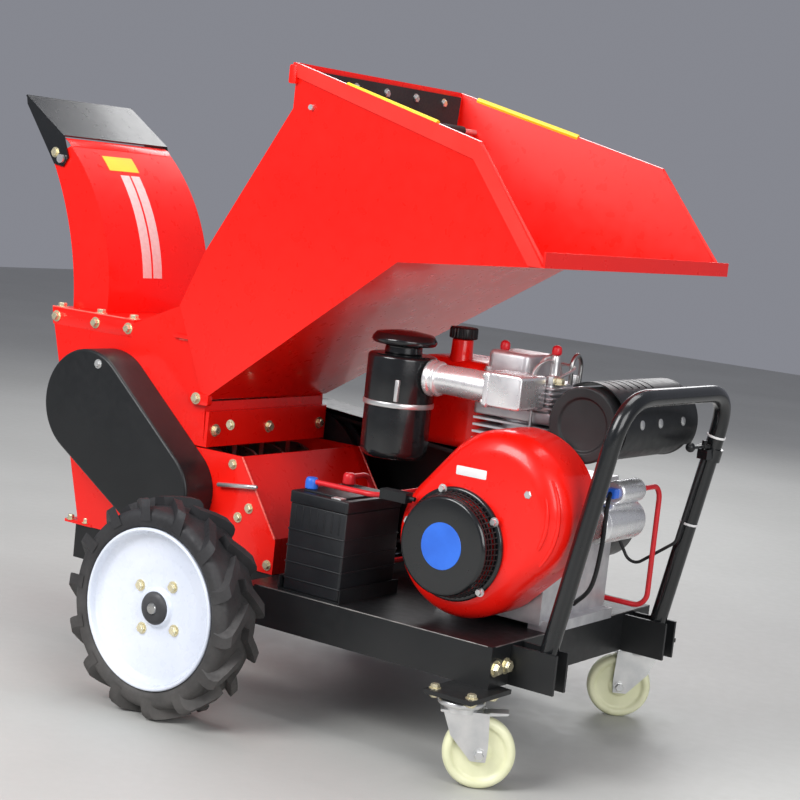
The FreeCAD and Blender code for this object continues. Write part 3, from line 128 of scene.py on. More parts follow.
def tube(path, radius, sides=14, up=(0, 0, 1)):
    """A round bar: at each point of the path a circle square to it, measured from the direction called up."""
    path = np.array(path, float)
    tangent = np.gradient(path, axis=0)
    tangent /= np.linalg.norm(tangent, axis=1, keepdims=True)
    side = np.cross(tangent, np.array(up, float))
    side /= np.linalg.norm(side, axis=1, keepdims=True)
    lift = np.cross(side, tangent)
    turn = np.linspace(0, 2 * np.pi, sides, endpoint=False)[None, :, None]
    radius = np.broadcast_to(np.array(radius, float), len(path))[:, None, None]
    return skin(path[:, None] + radius * (np.cos(turn) * side[:, None] + np.sin(turn) * lift[:, None]))


# %% [markdown]
# Sheet metal is drawn as an outline and given depth. Its edge is never knife sharp on the real machine, so
# each outline shrinks a little as it nears its face, which is what catches the light.

# %% Plates, bricks and pans
PLANES = {"XZ": (0, 2, 1), "XY": (0, 1, 2), "YZ": (1, 2, 0)}


def anticlockwise(outline):
    """Turns the outline round if its area, half the sum of x*next y - next x*y, is below zero."""
    outline = np.array(outline, float)
    x, y = outline[:, 0], outline[:, 1]
    area = (x * np.roll(y, -1) - np.roll(x, -1) * y).sum()
    return outline if area > 0 else outline[::-1]


def inset(outline, distance):
    """Each corner slides along its mitre: the sum of its two edges' normals over one plus their product."""
    forward = np.roll(outline, -1, 0) - outline
    forward /= np.maximum(np.linalg.norm(forward, axis=1, keepdims=True), 1e-9)
    normal = np.stack([-forward[:, 1], forward[:, 0]], 1)
    mitre = normal + np.roll(normal, 1, 0)
    return outline + distance * mitre / np.maximum((mitre * normal).sum(1, keepdims=True), 0.3)


def rings(outline, rows, plane):
    """One ring for each (inset, level) pair, stacked along the plane's third axis."""
    outline = anticlockwise(outline)
    u, v, w = PLANES[plane]
    grid = np.zeros((len(rows), len(outline), 3))
    for row, (distance, level) in enumerate(rows):
        grid[row][:, [u, v]] = inset(outline, distance)
        grid[row][:, w] = level
    return grid


def quarter(edge, steps):
    """Insets and drops along a quarter circle: edge*(1 - cos a) and edge*(1 - sin a)."""
    angle = np.linspace(0, np.pi / 2, steps)
    return edge * (1 - np.cos(angle)), edge * (1 - np.sin(angle))


def slab(outline, low, high, plane="XZ", edge=0.001, steps=3):
    """A plate between two levels with both its edges rounded."""
    shrink, drop = quarter(edge, steps)
    rows = list(zip(shrink[::-1], low + drop[::-1])) + list(zip(shrink, high - drop))
    return skin(rings(outline, rows, plane))


def pan(outline, rim, face, wall, edge, plane="XZ", steps=7):
    """A pressed cover, open at the rim's level and closed at the face's, with a rolled edge there."""
    toward = 1.0 if face > rim else -1.0
    shrink, drop = quarter(edge, steps)
    inner = [(wall + s, face - toward * (wall + d)) for s, d in zip(shrink, drop)]
    outer = [(s, face - toward * d) for s, d in zip(shrink, drop)]
    return skin(rings(outline, inner[::-1] + [(wall, rim), (0.0, rim)] + outer, plane))


def rectangle(low, high):
    """The four corners from low to high, anticlockwise."""
    return [(low[0], low[1]), (high[0], low[1]), (high[0], high[1]), (low[0], high[1])]


def brick(low, high, corner=0.004, edge=0.002, plane="XY", steps=4):
    """A block whose outline has rounded corners and whose two faces have rounded edges."""
    u, v, w = PLANES[plane]
    outline = rounded(rectangle((low[u], low[v]), (high[u], high[v])), corner, steps)
    return slab(outline, low[w], high[w], plane, edge, steps)


def loop_outline(first, first_radius, second, second_radius, count=40):
    """The line of a belt round two circles: an arc about each, joined by their common tangents."""
    first, second = np.array(first, float), np.array(second, float)
    span = second - first
    heading = math.atan2(span[1], span[0])
    lean = math.acos((first_radius - second_radius) / np.linalg.norm(span))
    near = np.linspace(heading + lean, heading + 2 * np.pi - lean, count)
    far = np.linspace(heading - lean, heading + lean, count)
    return np.concatenate([first + first_radius * np.stack([np.cos(near), np.sin(near)], 1),
                           second + second_radius * np.stack([np.cos(far), np.sin(far)], 1)])


# %% [markdown]
# Fasteners repeat dozens of times, so each is small: a six-sided head with a chamfer on a round washer. A
# weld bead is a thin bar whose radius swells and shrinks along its length.

# %% Bolts and weld beads
def bolt(point, axis, across=0.013, height=0.006):
    """A hexagon head on a washer, its axis pointing away from the plate."""
    along, first, second = basis(axis)
    turn = np.arange(6) * np.pi / 3
    corner = across / math.sqrt(3)
    ring = corner * (np.outer(np.cos(turn), first) + np.outer(np.sin(turn), second))
    base = np.array(point, float)
    rows = ((1.0, 0.0015), (1.0, 0.8 * height), (0.84, height))
    head = skin(np.stack([base + ring * scale + along * level for scale, level in rows]))
    washer = lathe([(0, 0), (0.78 * across, 0), (0.78 * across, 0.0015), (0, 0.0015)], point, axis, sides=16)
    return [head, washer]


def bolts(places, axis, across=0.013, height=0.006):
    """The same bolt at every place."""
    return [shell for place in places for shell in bolt(place, axis, across, height)]


def bead(start, end, radius=0.0022, pitch=0.008, up=(0, 0, 1)):
    """A weld bead: a bar from start to end whose radius is R*(1 + 0.18 sin) of the distance run."""
    start, end = np.array(start, float), np.array(end, float)
    length = np.linalg.norm(end - start)
    share = np.linspace(0, 1, max(6, int(length / pitch * 3)))[:, None]
    swell = radius * (1 + 0.18 * np.sin(2 * np.pi * share[:, 0] * length / pitch))
    return tube(start + (end - start) * share, swell, sides=8, up=up)


# %% Turning shells into pieces
def make(name, shells, material, replaces=(), body="chassis", sharp=35):
    """Joins shells into one mesh, faces outwards, smooth but for corners sharper than so many degrees."""
    starts = np.cumsum([0] + [len(points) for points, _ in shells])
    faces = [(np.array(face) + start).tolist() for (_, some), start in zip(shells, starts) for face in some]
    mesh = bpy.data.meshes.new(name)
    mesh.from_pydata(np.concatenate([points for points, _ in shells]).tolist(), [], faces)
    shape = bmesh.new()
    shape.from_mesh(mesh)
    bmesh.ops.remove_doubles(shape, verts=shape.verts, dist=1e-6)
    bmesh.ops.recalc_face_normals(shape, faces=shape.faces)
    shape.to_mesh(mesh)
    shape.free()
    mesh.shade_smooth()
    mesh.set_sharp_from_angle(angle=math.radians(sharp))
    piece = bpy.data.objects.new(name, mesh)
    bpy.context.scene.collection.objects.link(piece)
    mesh.materials.append(material)
    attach(piece, body)
    if replaces:
        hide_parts(*replaces)
    print(name, "has", len(mesh.polygons), "faces")


def dress(material, *nodes):
    """Gives CAD nodes, which keep their shape, a finish."""
    for node in nodes:
        mesh = frame["nodes"][node].data
        mesh.materials.clear()
        mesh.materials.append(material)
    print(material.name, "on", ", ".join(nodes))


def vertices_of(node):
    """The places of a CAD node's vertices, one row for each."""
    mesh = frame["nodes"][node].data
    points = np.zeros(len(mesh.vertices) * 3, np.float32)
    mesh.vertices.foreach_get("co", points)
    return points.reshape(-1, 3).astype(float)


def corner_of(node, direction):
    """The vertex of a CAD node that lies furthest along a direction."""
    points = vertices_of(node)
    return points[np.argmax(points @ np.array(direction, float))]


def box(node):
    """The least and the greatest corner of a CAD node."""
    low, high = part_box(node)
    return np.array(low), np.array(high)


# %% [markdown]
# A finish is one recipe with different numbers. Wide, faint noise moves the colour between two close tones.
# Fine noise breaks up the gloss and, on rubber and castings, lifts the surface a little. It is left flat on
# paint, where it would look like sandpaper. Dust settles low down, so its share follows height.


# %% The recipe for a finish
def finish(name, colour, second=None, blotch=5.0, rough=(0.3, 0.4), grain=180.0, relief=0.05, metallic=0.0,
           coat=0.0, stretch=(1, 1, 1), dust=0.0, dust_top=0.3, specular=0.5):
    """colour, second: the two tones; rough: the least and most roughness; relief: the grain's depth."""
    material = bpy.data.materials.new(name)
    material.use_nodes = True
    nodes, links = material.node_tree.nodes, material.node_tree.links
    shader = nodes["Principled BSDF"]
    shader.inputs["Metallic"].default_value = metallic
    shader.inputs["Coat Weight"].default_value = coat
    shader.inputs["Coat Roughness"].default_value = 0.08
    shader.inputs["Specular IOR Level"].default_value = specular
    place = nodes.new("ShaderNodeTexCoord")
    mapping = nodes.new("ShaderNodeMapping")
    mapping.inputs["Scale"].default_value = stretch
    links.new(place.outputs["Object"], mapping.inputs["Vector"])

    cloud = nodes.new("ShaderNodeTexNoise")
    cloud.inputs["Scale"].default_value = blotch
    cloud.inputs["Detail"].default_value = 5.0
    links.new(place.outputs["Object"], cloud.inputs["Vector"])
    tones = nodes.new("ShaderNodeValToRGB")
    tones.color_ramp.elements[0].position, tones.color_ramp.elements[1].position = 0.35, 0.68
    tones.color_ramp.elements[0].color = (*colour, 1)
    tones.color_ramp.elements[1].color = (*(second or colour), 1)
    links.new(cloud.outputs["Fac"], tones.inputs["Fac"])
    tone = tones.outputs["Color"]

    fine = nodes.new("ShaderNodeTexNoise")
    fine.inputs["Scale"].default_value = grain
    fine.inputs["Detail"].default_value = 3.0
    links.new(mapping.outputs["Vector"], fine.inputs["Vector"])
    gloss = nodes.new("ShaderNodeMapRange")
    gloss.inputs["From Min"].default_value, gloss.inputs["From Max"].default_value = 0.3, 0.7
    gloss.inputs["To Min"].default_value, gloss.inputs["To Max"].default_value = rough
    links.new(fine.outputs["Fac"], gloss.inputs["Value"])
    links.new(gloss.outputs["Result"], shader.inputs["Roughness"])
    if relief:
        bump = nodes.new("ShaderNodeBump")
        bump.inputs["Strength"].default_value = relief
        bump.inputs["Distance"].default_value = 0.0006
        links.new(fine.outputs["Fac"], bump.inputs["Height"])
        links.new(bump.outputs["Normal"], shader.inputs["Normal"])
    if dust:
        split = nodes.new("ShaderNodeSeparateXYZ")
        links.new(place.outputs["Object"], split.inputs["Vector"])
        height = nodes.new("ShaderNodeMapRange")
        height.inputs["From Min"].default_value, height.inputs["From Max"].default_value = 0.0, dust_top
        height.inputs["To Min"].default_value, height.inputs["To Max"].default_value = dust, 0.0
        links.new(split.outputs["Z"], height.inputs["Value"])
        share = nodes.new("ShaderNodeMath")
        share.operation = "MULTIPLY"
        links.new(height.outputs["Result"], share.inputs[0])
        links.new(cloud.outputs["Fac"], share.inputs[1])
        mix = nodes.new("ShaderNodeMix")
        mix.data_type = "RGBA"
        links.new(share.outputs["Value"], mix.inputs["Factor"])
        links.new(tone, mix.inputs["A"])
        mix.inputs["B"].default_value = (0.36, 0.33, 0.29, 1)
        tone = mix.outputs["Result"]
    links.new(tone, shader.inputs["Base Color"])
    return material


# %% The finishes
red = finish("red_powder_coat", (0.93, 0.010, 0.004), (0.85, 0.007, 0.003), 3.5, (0.26, 0.34), 40, 0.0,
             coat=0.25, specular=0.35)
satin_red = finish("red_satin_edge", (0.95, 0.030, 0.020), (0.90, 0.020, 0.012), 9, (0.44, 0.54), 40, 0.0)
# This lighter red is a painted highlight, not wear: the weld beads carry it so that they read as bright, lit
# lines.
highlight_red = finish("red_painted_highlight", (0.98, 0.20, 0.16), (0.92, 0.06, 0.04), 26, (0.26, 0.36), 60, 0.0,
                  coat=0.3)
black = finish("black_powder_coat", (0.007, 0.008, 0.009), (0.011, 0.012, 0.013), 7, (0.34, 0.44), 60, 0.0,
               dust=0.10, dust_top=0.24, specular=0.4)
gloss_black = finish("black_gloss_enamel", (0.006, 0.007, 0.008), (0.010, 0.011, 0.012), 6, (0.20, 0.28), 50,
                     0.0, coat=0.4, specular=0.4)
white = finish("white_rim_enamel", (0.78, 0.82, 0.90), (0.66, 0.71, 0.82), 5, (0.24, 0.34), 60, 0.0, coat=0.4,
               dust=0.20, dust_top=0.20)
rubber = finish("tyre_rubber", (0.010, 0.010, 0.012), (0.022, 0.022, 0.025), 16, (0.56, 0.76), 160, 0.2,
                dust=0.30, dust_top=0.36)
soft_rubber = finish("curtain_rubber", (0.014, 0.014, 0.015), (0.022, 0.022, 0.023), 9, (0.55, 0.75), 240,
                     0.2)
nylon = finish("cream_nylon", (0.88, 0.88, 0.60), (0.78, 0.79, 0.50), 22, (0.34, 0.50), 260, 0.08, dust=0.25,
               dust_top=0.10)
zinc = finish("zinc_plate", (0.76, 0.76, 0.75), (0.62, 0.63, 0.63), 30, (0.28, 0.38), 60, 0.0, metallic=0.85)
gold_zinc = finish("yellow_zinc", (0.90, 0.82, 0.56), (0.78, 0.72, 0.50), 60, (0.24, 0.36), 120, 0.02,
                   metallic=0.8)
steel = finish("machined_steel", (0.52, 0.52, 0.51), (0.40, 0.40, 0.39), 25, (0.24, 0.42), 90, 0.10,
               metallic=1.0, stretch=(1, 14, 1))
iron = finish("cast_iron", (0.050, 0.050, 0.054), (0.085, 0.085, 0.090), 30, (0.50, 0.66), 140, 0.2,
              metallic=0.4)
alloy = finish("cast_aluminium", (0.74, 0.74, 0.75), (0.60, 0.60, 0.62), 36, (0.38, 0.48), 400, 0.03,
               metallic=0.8)
bright_alloy = finish("polished_aluminium", (0.90, 0.90, 0.90), (0.80, 0.80, 0.82), 20, (0.24, 0.32), 50, 0.0,
                      metallic=0.75)
case_plastic = finish("battery_plastic", (0.008, 0.009, 0.011), (0.014, 0.015, 0.017), 12, (0.36, 0.44), 60,
                      0.0, specular=0.4)
black_plastic = finish("moulded_black", (0.008, 0.009, 0.010), (0.012, 0.013, 0.014), 10, (0.32, 0.40), 60,
                       0.0, specular=0.4)
blue = finish("blue_plastic", (0.03, 0.16, 0.72), (0.02, 0.12, 0.60), 20, (0.28, 0.40), 300, 0.05)
cap_red = finish("red_plastic", (0.72, 0.02, 0.03), (0.60, 0.015, 0.02), 20, (0.28, 0.40), 300, 0.05)
yellow = finish("yellow_film", (0.90, 0.66, 0.02), (0.84, 0.58, 0.02), 12, (0.30, 0.42), 260, 0.04)
pale = finish("pale_film", (0.84, 0.70, 0.68), (0.78, 0.60, 0.58), 120, (0.34, 0.48), 120, 0.02)
label = finish("blank_label", (0.86, 0.85, 0.84), (0.80, 0.78, 0.78), 30, (0.30, 0.42), 120, 0.01)
worn = finish("worn_paint", (0.22, 0.21, 0.20), (0.10, 0.10, 0.10), 40, (0.34, 0.48), 120, 0.03, metallic=0.5)
heat_black = finish("heat_black", (0.010, 0.010, 0.011), (0.018, 0.018, 0.019), 14, (0.42, 0.54), 80, 0.01,
                    specular=0.4)
belt_black = finish("belt_rubber", (0.020, 0.020, 0.021), (0.030, 0.030, 0.031), 20, (0.6, 0.8), 200, 0.3)
print(len(bpy.data.materials), "materials so far")

# %% Finishes on the CAD nodes that keep their shape
dress(red, "upper_side_plates", "lower_side_plates", "upper_wrap_plates", "lower_wrap_plates", "hopper_sides",
      "hopper_floor", "hopper_back", "hopper_rim", "chute_curved_plates", "chute_side_plates", "chute_flange",
      "fan_shroud", "fuel_tank")
dress(black, "frame_rails", "deck_plate", "belt_guard_right", "belt_guard_left", "muffler_shield")
dress(gloss_black, "handle_tube", "tip_deflector", "filter_bowl", "filter_lid", "throttle_clamp")
dress(heat_black, "muffler_drum")
dress(white, "drive_rim_right", "drive_rim_left")
dress(rubber, "drive_tyre_right", "drive_tyre_left")
dress(soft_rubber, "feed_curtain", "throttle_cable")
dress(nylon, "caster_wheel_right", "caster_wheel_left")
dress(zinc, "caster_fork_right", "caster_fork_left", "caster_pedal_right", "caster_pedal_left", "hinge_pins",
      "frame_bolts")
dress(steel, "drive_axle", "mill_rotor", "chipper_drum", "drum_knives", "anvil_bar", "crank_flywheel")
dress(iron, "shaft_bearings", "mill_pulleys")
dress(alloy, "crankcase", "cylinder_barrel", "cylinder_head", "intake_elbow", "starter_motor")
dress(case_plastic, "battery_case")
dress(cap_red, "battery_terminals", "battery_leads")
dress(black_plastic, "recoil_cover", "recoil_grip", "fuel_cap", "throttle_lever")
dress(belt_black, "main_belt", "transfer_belt")

# %% [markdown]
# ## Drive wheels
# A farm tyre is a soft, bulging ring with chunky V bars that bite the ground. The carcass is turned from a
# rounded section. Each bar is a small grid that climbs from the sidewall over the shoulder to the middle.


# %% Tyres
def tread_bar(centre, side, start_turn, outer, half):
    """A bar's ring at share s stands at Y = half*(1 - s) and angle start + 0.3*s; its top leans in."""
    share = np.array([0.0, 0.05, 0.14, 0.4, 0.7, 0.98])
    across = side * half * np.clip(1 - share, 0.02, 0.996)
    top = outer - np.array([0.017, 0.007, 0.001, 0.0, 0.0, 0.0])
    foot = outer - np.array([0.040, 0.034, 0.028, 0.024, 0.022, 0.022])
    sweep = start_turn + 0.30 * share
    grid = np.zeros((len(share), 4, 3))
    for column, (lean, radius) in enumerate(((-0.072, foot), (-0.052, top), (0.052, top), (0.072, foot))):
        grid[:, column, 0] = centre[0] + radius * np.cos(sweep + lean)
        grid[:, column, 1] = centre[1] + across
        grid[:, column, 2] = centre[2] + radius * np.sin(sweep + lean)
    return skin(grid)


def tyre(hand):
    """The turned carcass and two rings of bars, half a pitch apart; returns the wheel's centre."""
    low, high = box("drive_tyre_" + hand)
    centre, outer, half = (low + high) / 2, (high[2] - low[2]) / 2, (high[1] - low[1]) / 2
    section = rounded([(0.1465, -0.040), (0.152, -0.046), (0.160, -0.0485), (0.172, -0.0485), (0.181, -0.040),
                       (0.183, -0.02), (0.183, 0.02), (0.181, 0.040), (0.172, 0.0485), (0.160, 0.0485),
                       (0.152, 0.046), (0.1465, 0.040)], 0.008, 5)
    shells = [lathe(section, centre, sides=96, closed=True)]
    bars = 14
    for side in (-1, 1):
        for bar in range(bars):
            turn = 2 * np.pi * (bar + 0.25 * side) / bars
            shells.append(tread_bar(centre, side, turn, outer - 0.0004, half))
    make("tyre_with_bars_" + hand, shells, rubber, ["drive_tyre_" + hand], "wheel_" + hand,
         sharp=30)
    return centre


# %% Rims, hub caps and wheel bolts
def wheel_rim(hand, side, centre):
    """A dished disc with a rolled lip; distances count outwards from the middle of the wheel."""
    section = rounded([(0.1462, 0.038), (0.1478, 0.0455), (0.1450, 0.0482), (0.1415, 0.0475), (0.1395, 0.043),
                       (0.1375, 0.034), (0.128, 0.0262), (0.095, 0.0205), (0.060, 0.0180), (0.038, 0.0188),
                       (0.033, 0.026), (0.0135, 0.026), (0.0135, -0.046), (0.032, -0.046), (0.032, 0.012),
                       (0.060, 0.0145), (0.127, 0.0215), (0.1375, 0.026), (0.1400, -0.042), (0.1450, -0.0475),
                       (0.1475, -0.0455), (0.1462, -0.038)], 0.003, 4)
    outward = (0, side, 0)
    make("dished_rim_" + hand, [lathe(section, centre, outward, 96, closed=True)], white,
         ["drive_rim_" + hand], "wheel_" + hand)
    cap = lathe(rounded([(0, 0.0330), (0.0230, 0.0330), (0.0300, 0.0290), (0.0310, 0.0180), (0.0, 0.0180)],
                        0.003, 4, closed=False), centre, outward, 48)
    make("hub_cap_" + hand, [cap], iron, body="wheel_" + hand)
    end = lathe(rounded([(0, 0.0365), (0.0095, 0.0360), (0.0110, 0.0320), (0, 0.0320)], 0.001, 3,
                        closed=False), centre, outward, 32)
    make("axle_end_" + hand, [end], steel, body="wheel_" + hand)
    turn = np.radians([54, 144, 234, 324])
    spots = [centre + np.array((0.055 * math.cos(a), side * 0.0182, 0.055 * math.sin(a))) for a in turn]
    make("wheel_bolts_" + hand, bolts(spots, outward, 0.014, 0.008), gold_zinc, body="wheel_" + hand)


for hand, side in (("right", -1), ("left", 1)):
    wheel_rim(hand, side, tyre(hand))
print("drive wheels made")

# %% [markdown]
# ## Casters
# The nylon wheel has a crowned tread, a waisted web and a raised hub. Its centre and axle come from its
# joint, so it stays true to the model when the part's sizes change.

# %% Caster wheels, races and plate bolts
for hand, side in (("right", -1), ("left", 1)):
    roll, swivel = joints["caster_%s_roll" % hand], joints["caster_%s_swivel" % hand]
    radius = roll["pos_m"][2]
    web = rounded([(0.0062, -0.0165), (0.0165, -0.0165), (0.021, -0.011), (0.044, -0.0095), (0.049, -0.0155),
                   (0.0575, -0.0160), (radius, -0.009), (radius, 0.009), (0.0575, 0.0160), (0.049, 0.0155),
                   (0.044, 0.0095), (0.021, 0.011), (0.0165, 0.0165), (0.0062, 0.0165)], 0.004, 4)
    make("nylon_wheel_" + hand, [lathe(web, roll["pos_m"], roll["axis"], 72, closed=True)], nylon,
         ["caster_wheel_" + hand], "roller_" + hand)
    nut_at = [np.array(roll["pos_m"]) + np.array(roll["axis"]) * end * 0.0222 for end in (-1, 1)]
    nuts = [shell for end, spot in zip((-1, 1), nut_at)
            for shell in bolt(spot, np.array(roll["axis"]) * end, 0.015, 0.007)]
    make("caster_axle_nuts_" + hand, nuts, zinc, body="swivel_" + hand)
    plate_top, plate_foot = 0.165, 0.157
    pivot = np.array(swivel["pos_m"])
    race = rounded([(0.030, 0.140), (0.040, 0.142), (0.042, 0.147), (0.040, 0.152), (0.030, 0.154)], 0.003, 5)
    make("swivel_race_" + hand, [lathe(race, (pivot[0], pivot[1], 0), (0, 0, 1), 48, closed=True)], zinc,
         body="swivel_" + hand)
    spots = [(pivot[0] + dx, pivot[1] + dy) for dx in (-0.037, 0.037) for dy in (-0.030, 0.037)]
    heads = bolts([(x, y, plate_top) for x, y in spots if abs(y) > 0.297], (0, 0, 1), 0.014, 0.008)
    heads += bolts([(x, y, plate_foot) for x, y in spots], (0, 0, -1), 0.014, 0.007)
    make("caster_plate_bolts_" + hand, heads, gold_zinc)

# %% [markdown]
# ## Push handle
# One steel tube, bent twice, so it is one swept circle. The two bends are the rounded corners of its path.

# %% Handle tube
low, high = box("handle_tube")
bar = 0.016
arm = high[1] - bar
foot, top = (low[0] + bar, low[2] + 0.2 * bar), (high[0] - bar, high[2] - bar)
route = rounded([(foot[0], -arm, foot[1]), (top[0], -arm, top[1]), (top[0], arm, top[1]),
                 (foot[0], arm, foot[1])], 0.085, 14, closed=False)
make("bent_handle", [tube(route, bar - 0.0001, 28, up=(1, 0, 0))], gloss_black,
     ["handle_tube"])
tie_height = (0.43, 0.60)
lean = (top[0] - foot[0]) / (top[1] - foot[1])
ties = [lathe(rounded([(bar, -0.0022), (bar + 0.0014, -0.0022), (bar + 0.0014, 0.0022), (bar, 0.0022)],
                      0.0008, 3), (foot[0] + lean * (z - foot[1]), arm, z), (lean, 0, 1), 32, closed=True)
        for z in tie_height]
make("cable_ties", ties, label)
print("handle", round(2 * arm, 3), "m wide")

# %% [markdown]
# ## Frame and housing hardware
# The welded frame keeps its CAD shape. What brings it to life is hardware: hexagon heads on each flange, the
# nuts below them, weld beads along the seams, and the small tabs that hold the belt guard.

# %% Flange bolts
flange_low, flange_high = box("chute_flange")
edge_gap = 0.014
flange_x = (flange_low[0] + edge_gap, (flange_low[0] + flange_high[0]) / 2 + 0.01, flange_high[0] - edge_gap)
flange_spots = [(x, y) for x in flange_x for y in (flange_low[1] + edge_gap, flange_high[1] - edge_gap)]
heads = bolts([(x, y, flange_high[2]) for x, y in flange_spots], (0, 0, 1), 0.016, 0.009)
wrap_low, wrap_high = box("upper_wrap_plates")
wrap_front = corner_of("upper_wrap_plates", (1, 0, -0.2))[0]
lap_z, rail_z = 0.484, 0.200
for y in (wrap_low[1] + 0.022, 0.0, wrap_high[1] - 0.022):
    heads += bolt((wrap_front, y, lap_z), (1, 0, 0), 0.016, 0.009)
deck_low, deck_high = box("deck_plate")
for y in (-0.274, -0.240, 0.240, 0.274):
    heads += bolt((deck_high[0], y, rail_z), (1, 0, 0), 0.019, 0.011)
make("flange_bolts", heads, gold_zinc, ["frame_bolts"])

# %% Worn edge of the deck
deck_sheet = 0.004
deck_top = deck_low[2] + deck_sheet - 0.0008
lines = [bead((deck_low[0] + 0.01, side * (deck_high[1] - 0.0006), deck_top),
              (deck_high[0] - 0.01, side * (deck_high[1] - 0.0006), deck_top), 0.0012, 0.05)
         for side in (-1, 1)]
lines.append(bead((deck_high[0] - 0.0006, deck_low[1] + 0.01, deck_top),
                  (deck_high[0] - 0.0006, deck_high[1] - 0.01, deck_top), 0.0012, 0.05))
make("deck_edge", lines, worn)

# %% Angles under the chute's flange, with their nuts
strips, nuts = [], []
for side in (-1, 1):
    face = side * flange_high[1]
    back, front = sorted((face - side * 0.0030, face + side * 0.0005))
    outline = rounded(rectangle((flange_low[0] + 0.004, flange_low[2] - 0.030),
                                (flange_high[0], flange_low[2])), 0.003, 3)
    strips.append(slab(outline, back, front, "XZ", 0.0008))
    nuts += bolts([(x, face, flange_low[2] - 0.013) for x in flange_x], (0, side, 0), 0.015, 0.009)
make("flange_angles", strips, red)
make("flange_nuts", nuts, gold_zinc)

# %% Weld beads along the housing and the hopper
def seam(start, end, y, radius=0.0022):
    """A bead along the straight line from start to end, moved to the level Y of a plate's face."""
    return bead((start[0], y, start[2]), (end[0], y, end[2]), radius)


half = box("upper_side_plates")[1][1]
plate_face = half + 0.0012
throat_low = corner_of("hopper_sides", (-0.5, 0, -1))
throat_high = corner_of("hopper_sides", (-1, 0, 0.1))
knee = corner_of("lower_side_plates", (1, 0, 0.4))
peak = corner_of("lower_side_plates", (0.3, 0, 1))
sole = corner_of("lower_side_plates", (1, 0, -1))
seams = []
for side in (-1, 1):
    seams.append(seam(throat_high, throat_low, side * plate_face))
    seams += [seam(peak, knee, side * plate_face, 0.002), seam(knee, sole, side * plate_face, 0.002)]
cross = throat_high + 0.38 * (throat_low - throat_high)
for side in (-1, 1):
    seams.append(seam((flange_low[0], 0, flange_high[2]), flange_high, side * (flange_high[1] - 0.0004),
                      0.0014))
    seams.append(bead((cross[0] - 0.030, side * plate_face, cross[2]),
                      (cross[0] + 0.032, side * plate_face, cross[2] + 0.002), 0.0018))
# The beads get the lighter red, a painted highlight along each seam and across the cross mark.
make("housing_welds", seams, highlight_red)

# %% Guard tab, side bolts and the release rod
tab_x, tab_z = throat_low[0] - 0.012, throat_low[2] + 0.002
right = -half
tab = slab(rounded([(tab_x - 0.02, tab_z - 0.012), (tab_x + 0.030, tab_z - 0.012),
                    (tab_x + 0.030, tab_z + 0.010), (tab_x - 0.02, tab_z + 0.010)], 0.006, 4), right - 0.014,
           right - 0.0005, "XZ", 0.001)
strap = slab(rounded(rectangle((-0.262, 0.655), (-0.182, 0.662)), 0.003, 3), right - 0.009, right - 0.0005,
             "XZ", 0.001)
make("guard_tab_and_strap", [tab, strap], red)
side_heads = bolts([(tab_x, right - 0.014, tab_z)], (0, -1, 0), 0.015, 0.008)
side_heads += bolts([(-0.085, right, 0.430), (-0.035, right, 0.352), (-0.060, right, 0.330),
                     (0.022, right, 0.252), (-0.100, right, 0.505)], (0, -1, 0), 0.013, 0.007)
side_heads += bolts([(-0.085, -right, 0.430), (0.022, -right, 0.252)], (0, 1, 0), 0.013, 0.007)
make("housing_side_bolts", side_heads, gold_zinc)
rod = lathe([(0, -0.05), (0.0035, -0.05), (0.0045, -0.048), (0.0045, 0.044), (0.0030, 0.048), (0, 0.048)],
            (-0.062, right - 0.008, 0.392), (1, 0, 0.12), 20)
make("release_rod", [rod], zinc)

# %% Rear foot flanges
feet, foot_bolts = [], []
back_low = box("lower_side_plates")[0]
for side in (-1, 1):
    span_y = sorted((side * (half - 0.05), side * (half + 0.002)))
    feet.append(brick((back_low[0] + 0.022, span_y[0], back_low[2] - 0.001), (back_low[0] + 0.100, span_y[1],
                back_low[2] + 0.005), 0.004, 0.001))
    for dx in (0.036, 0.080):
        foot_bolts += bolt((back_low[0] + dx, side * (half - 0.004), back_low[2] + 0.005), (0, 0, 1),
                           0.012, 0.010)
make("rear_foot_flanges", feet, red)
make("rear_foot_bolts", foot_bolts, gold_zinc)
print("housing hardware made")

# %% [markdown]
# ## Hopper edges
# The mouth of the hopper is folded over, so its edge is a soft, bright line and never a raw sheet edge. A
# thin round bar along the mouth gives that fold, and a flat band lies behind it. A rubber apron is bolted
# inside the crown. Two yellow strips warn of the edge, one along each side.

# %% Folded mouth and floor seams
crown = {side: corner_of("hopper_rim", (-1, side * 0.5, 3)) for side in (-1, 1)}
brow = {side: corner_of("hopper_rim", (1, side * 0.3, 1.15)) for side in (-1, 1)}
lip = {side: corner_of("hopper_sides", (1, side * 0.3, -0.25)) for side in (-1, 1)}
fold = 0.0032
folds = []
for side in (-1, 1):
    inwards = np.array((0, -side * fold, -fold))
    corners = np.array([crown[side] + inwards, brow[side] + inwards,
                        lip[side] + (-0.001, -side * fold, fold)])
    folds.append(tube(rounded(corners, 0.012, 5, closed=False), fold, 10, up=(0, 1, 0)))
lip_pair = [lip[-1] + (0.0, fold, fold), lip[1] + (0.0, -fold, fold)]
folds.append(tube(np.linspace(*lip_pair, 8), fold, 10, up=(0, 0, 1)))
make("mouth_fold", folds, satin_red)
print("mouth from", np.round(crown[-1], 3), "to", np.round(lip[-1], 3))

# %% Folded band along the mouth
def wall_height(corners):
    """The wall's Y as a plane in X and Z: it solves Y = a + b*X + c*Z at three corners."""
    corners = np.array(corners)
    return np.linalg.solve(np.stack([np.ones(3), corners[:, 0], corners[:, 2]], 1), corners[:, 1])


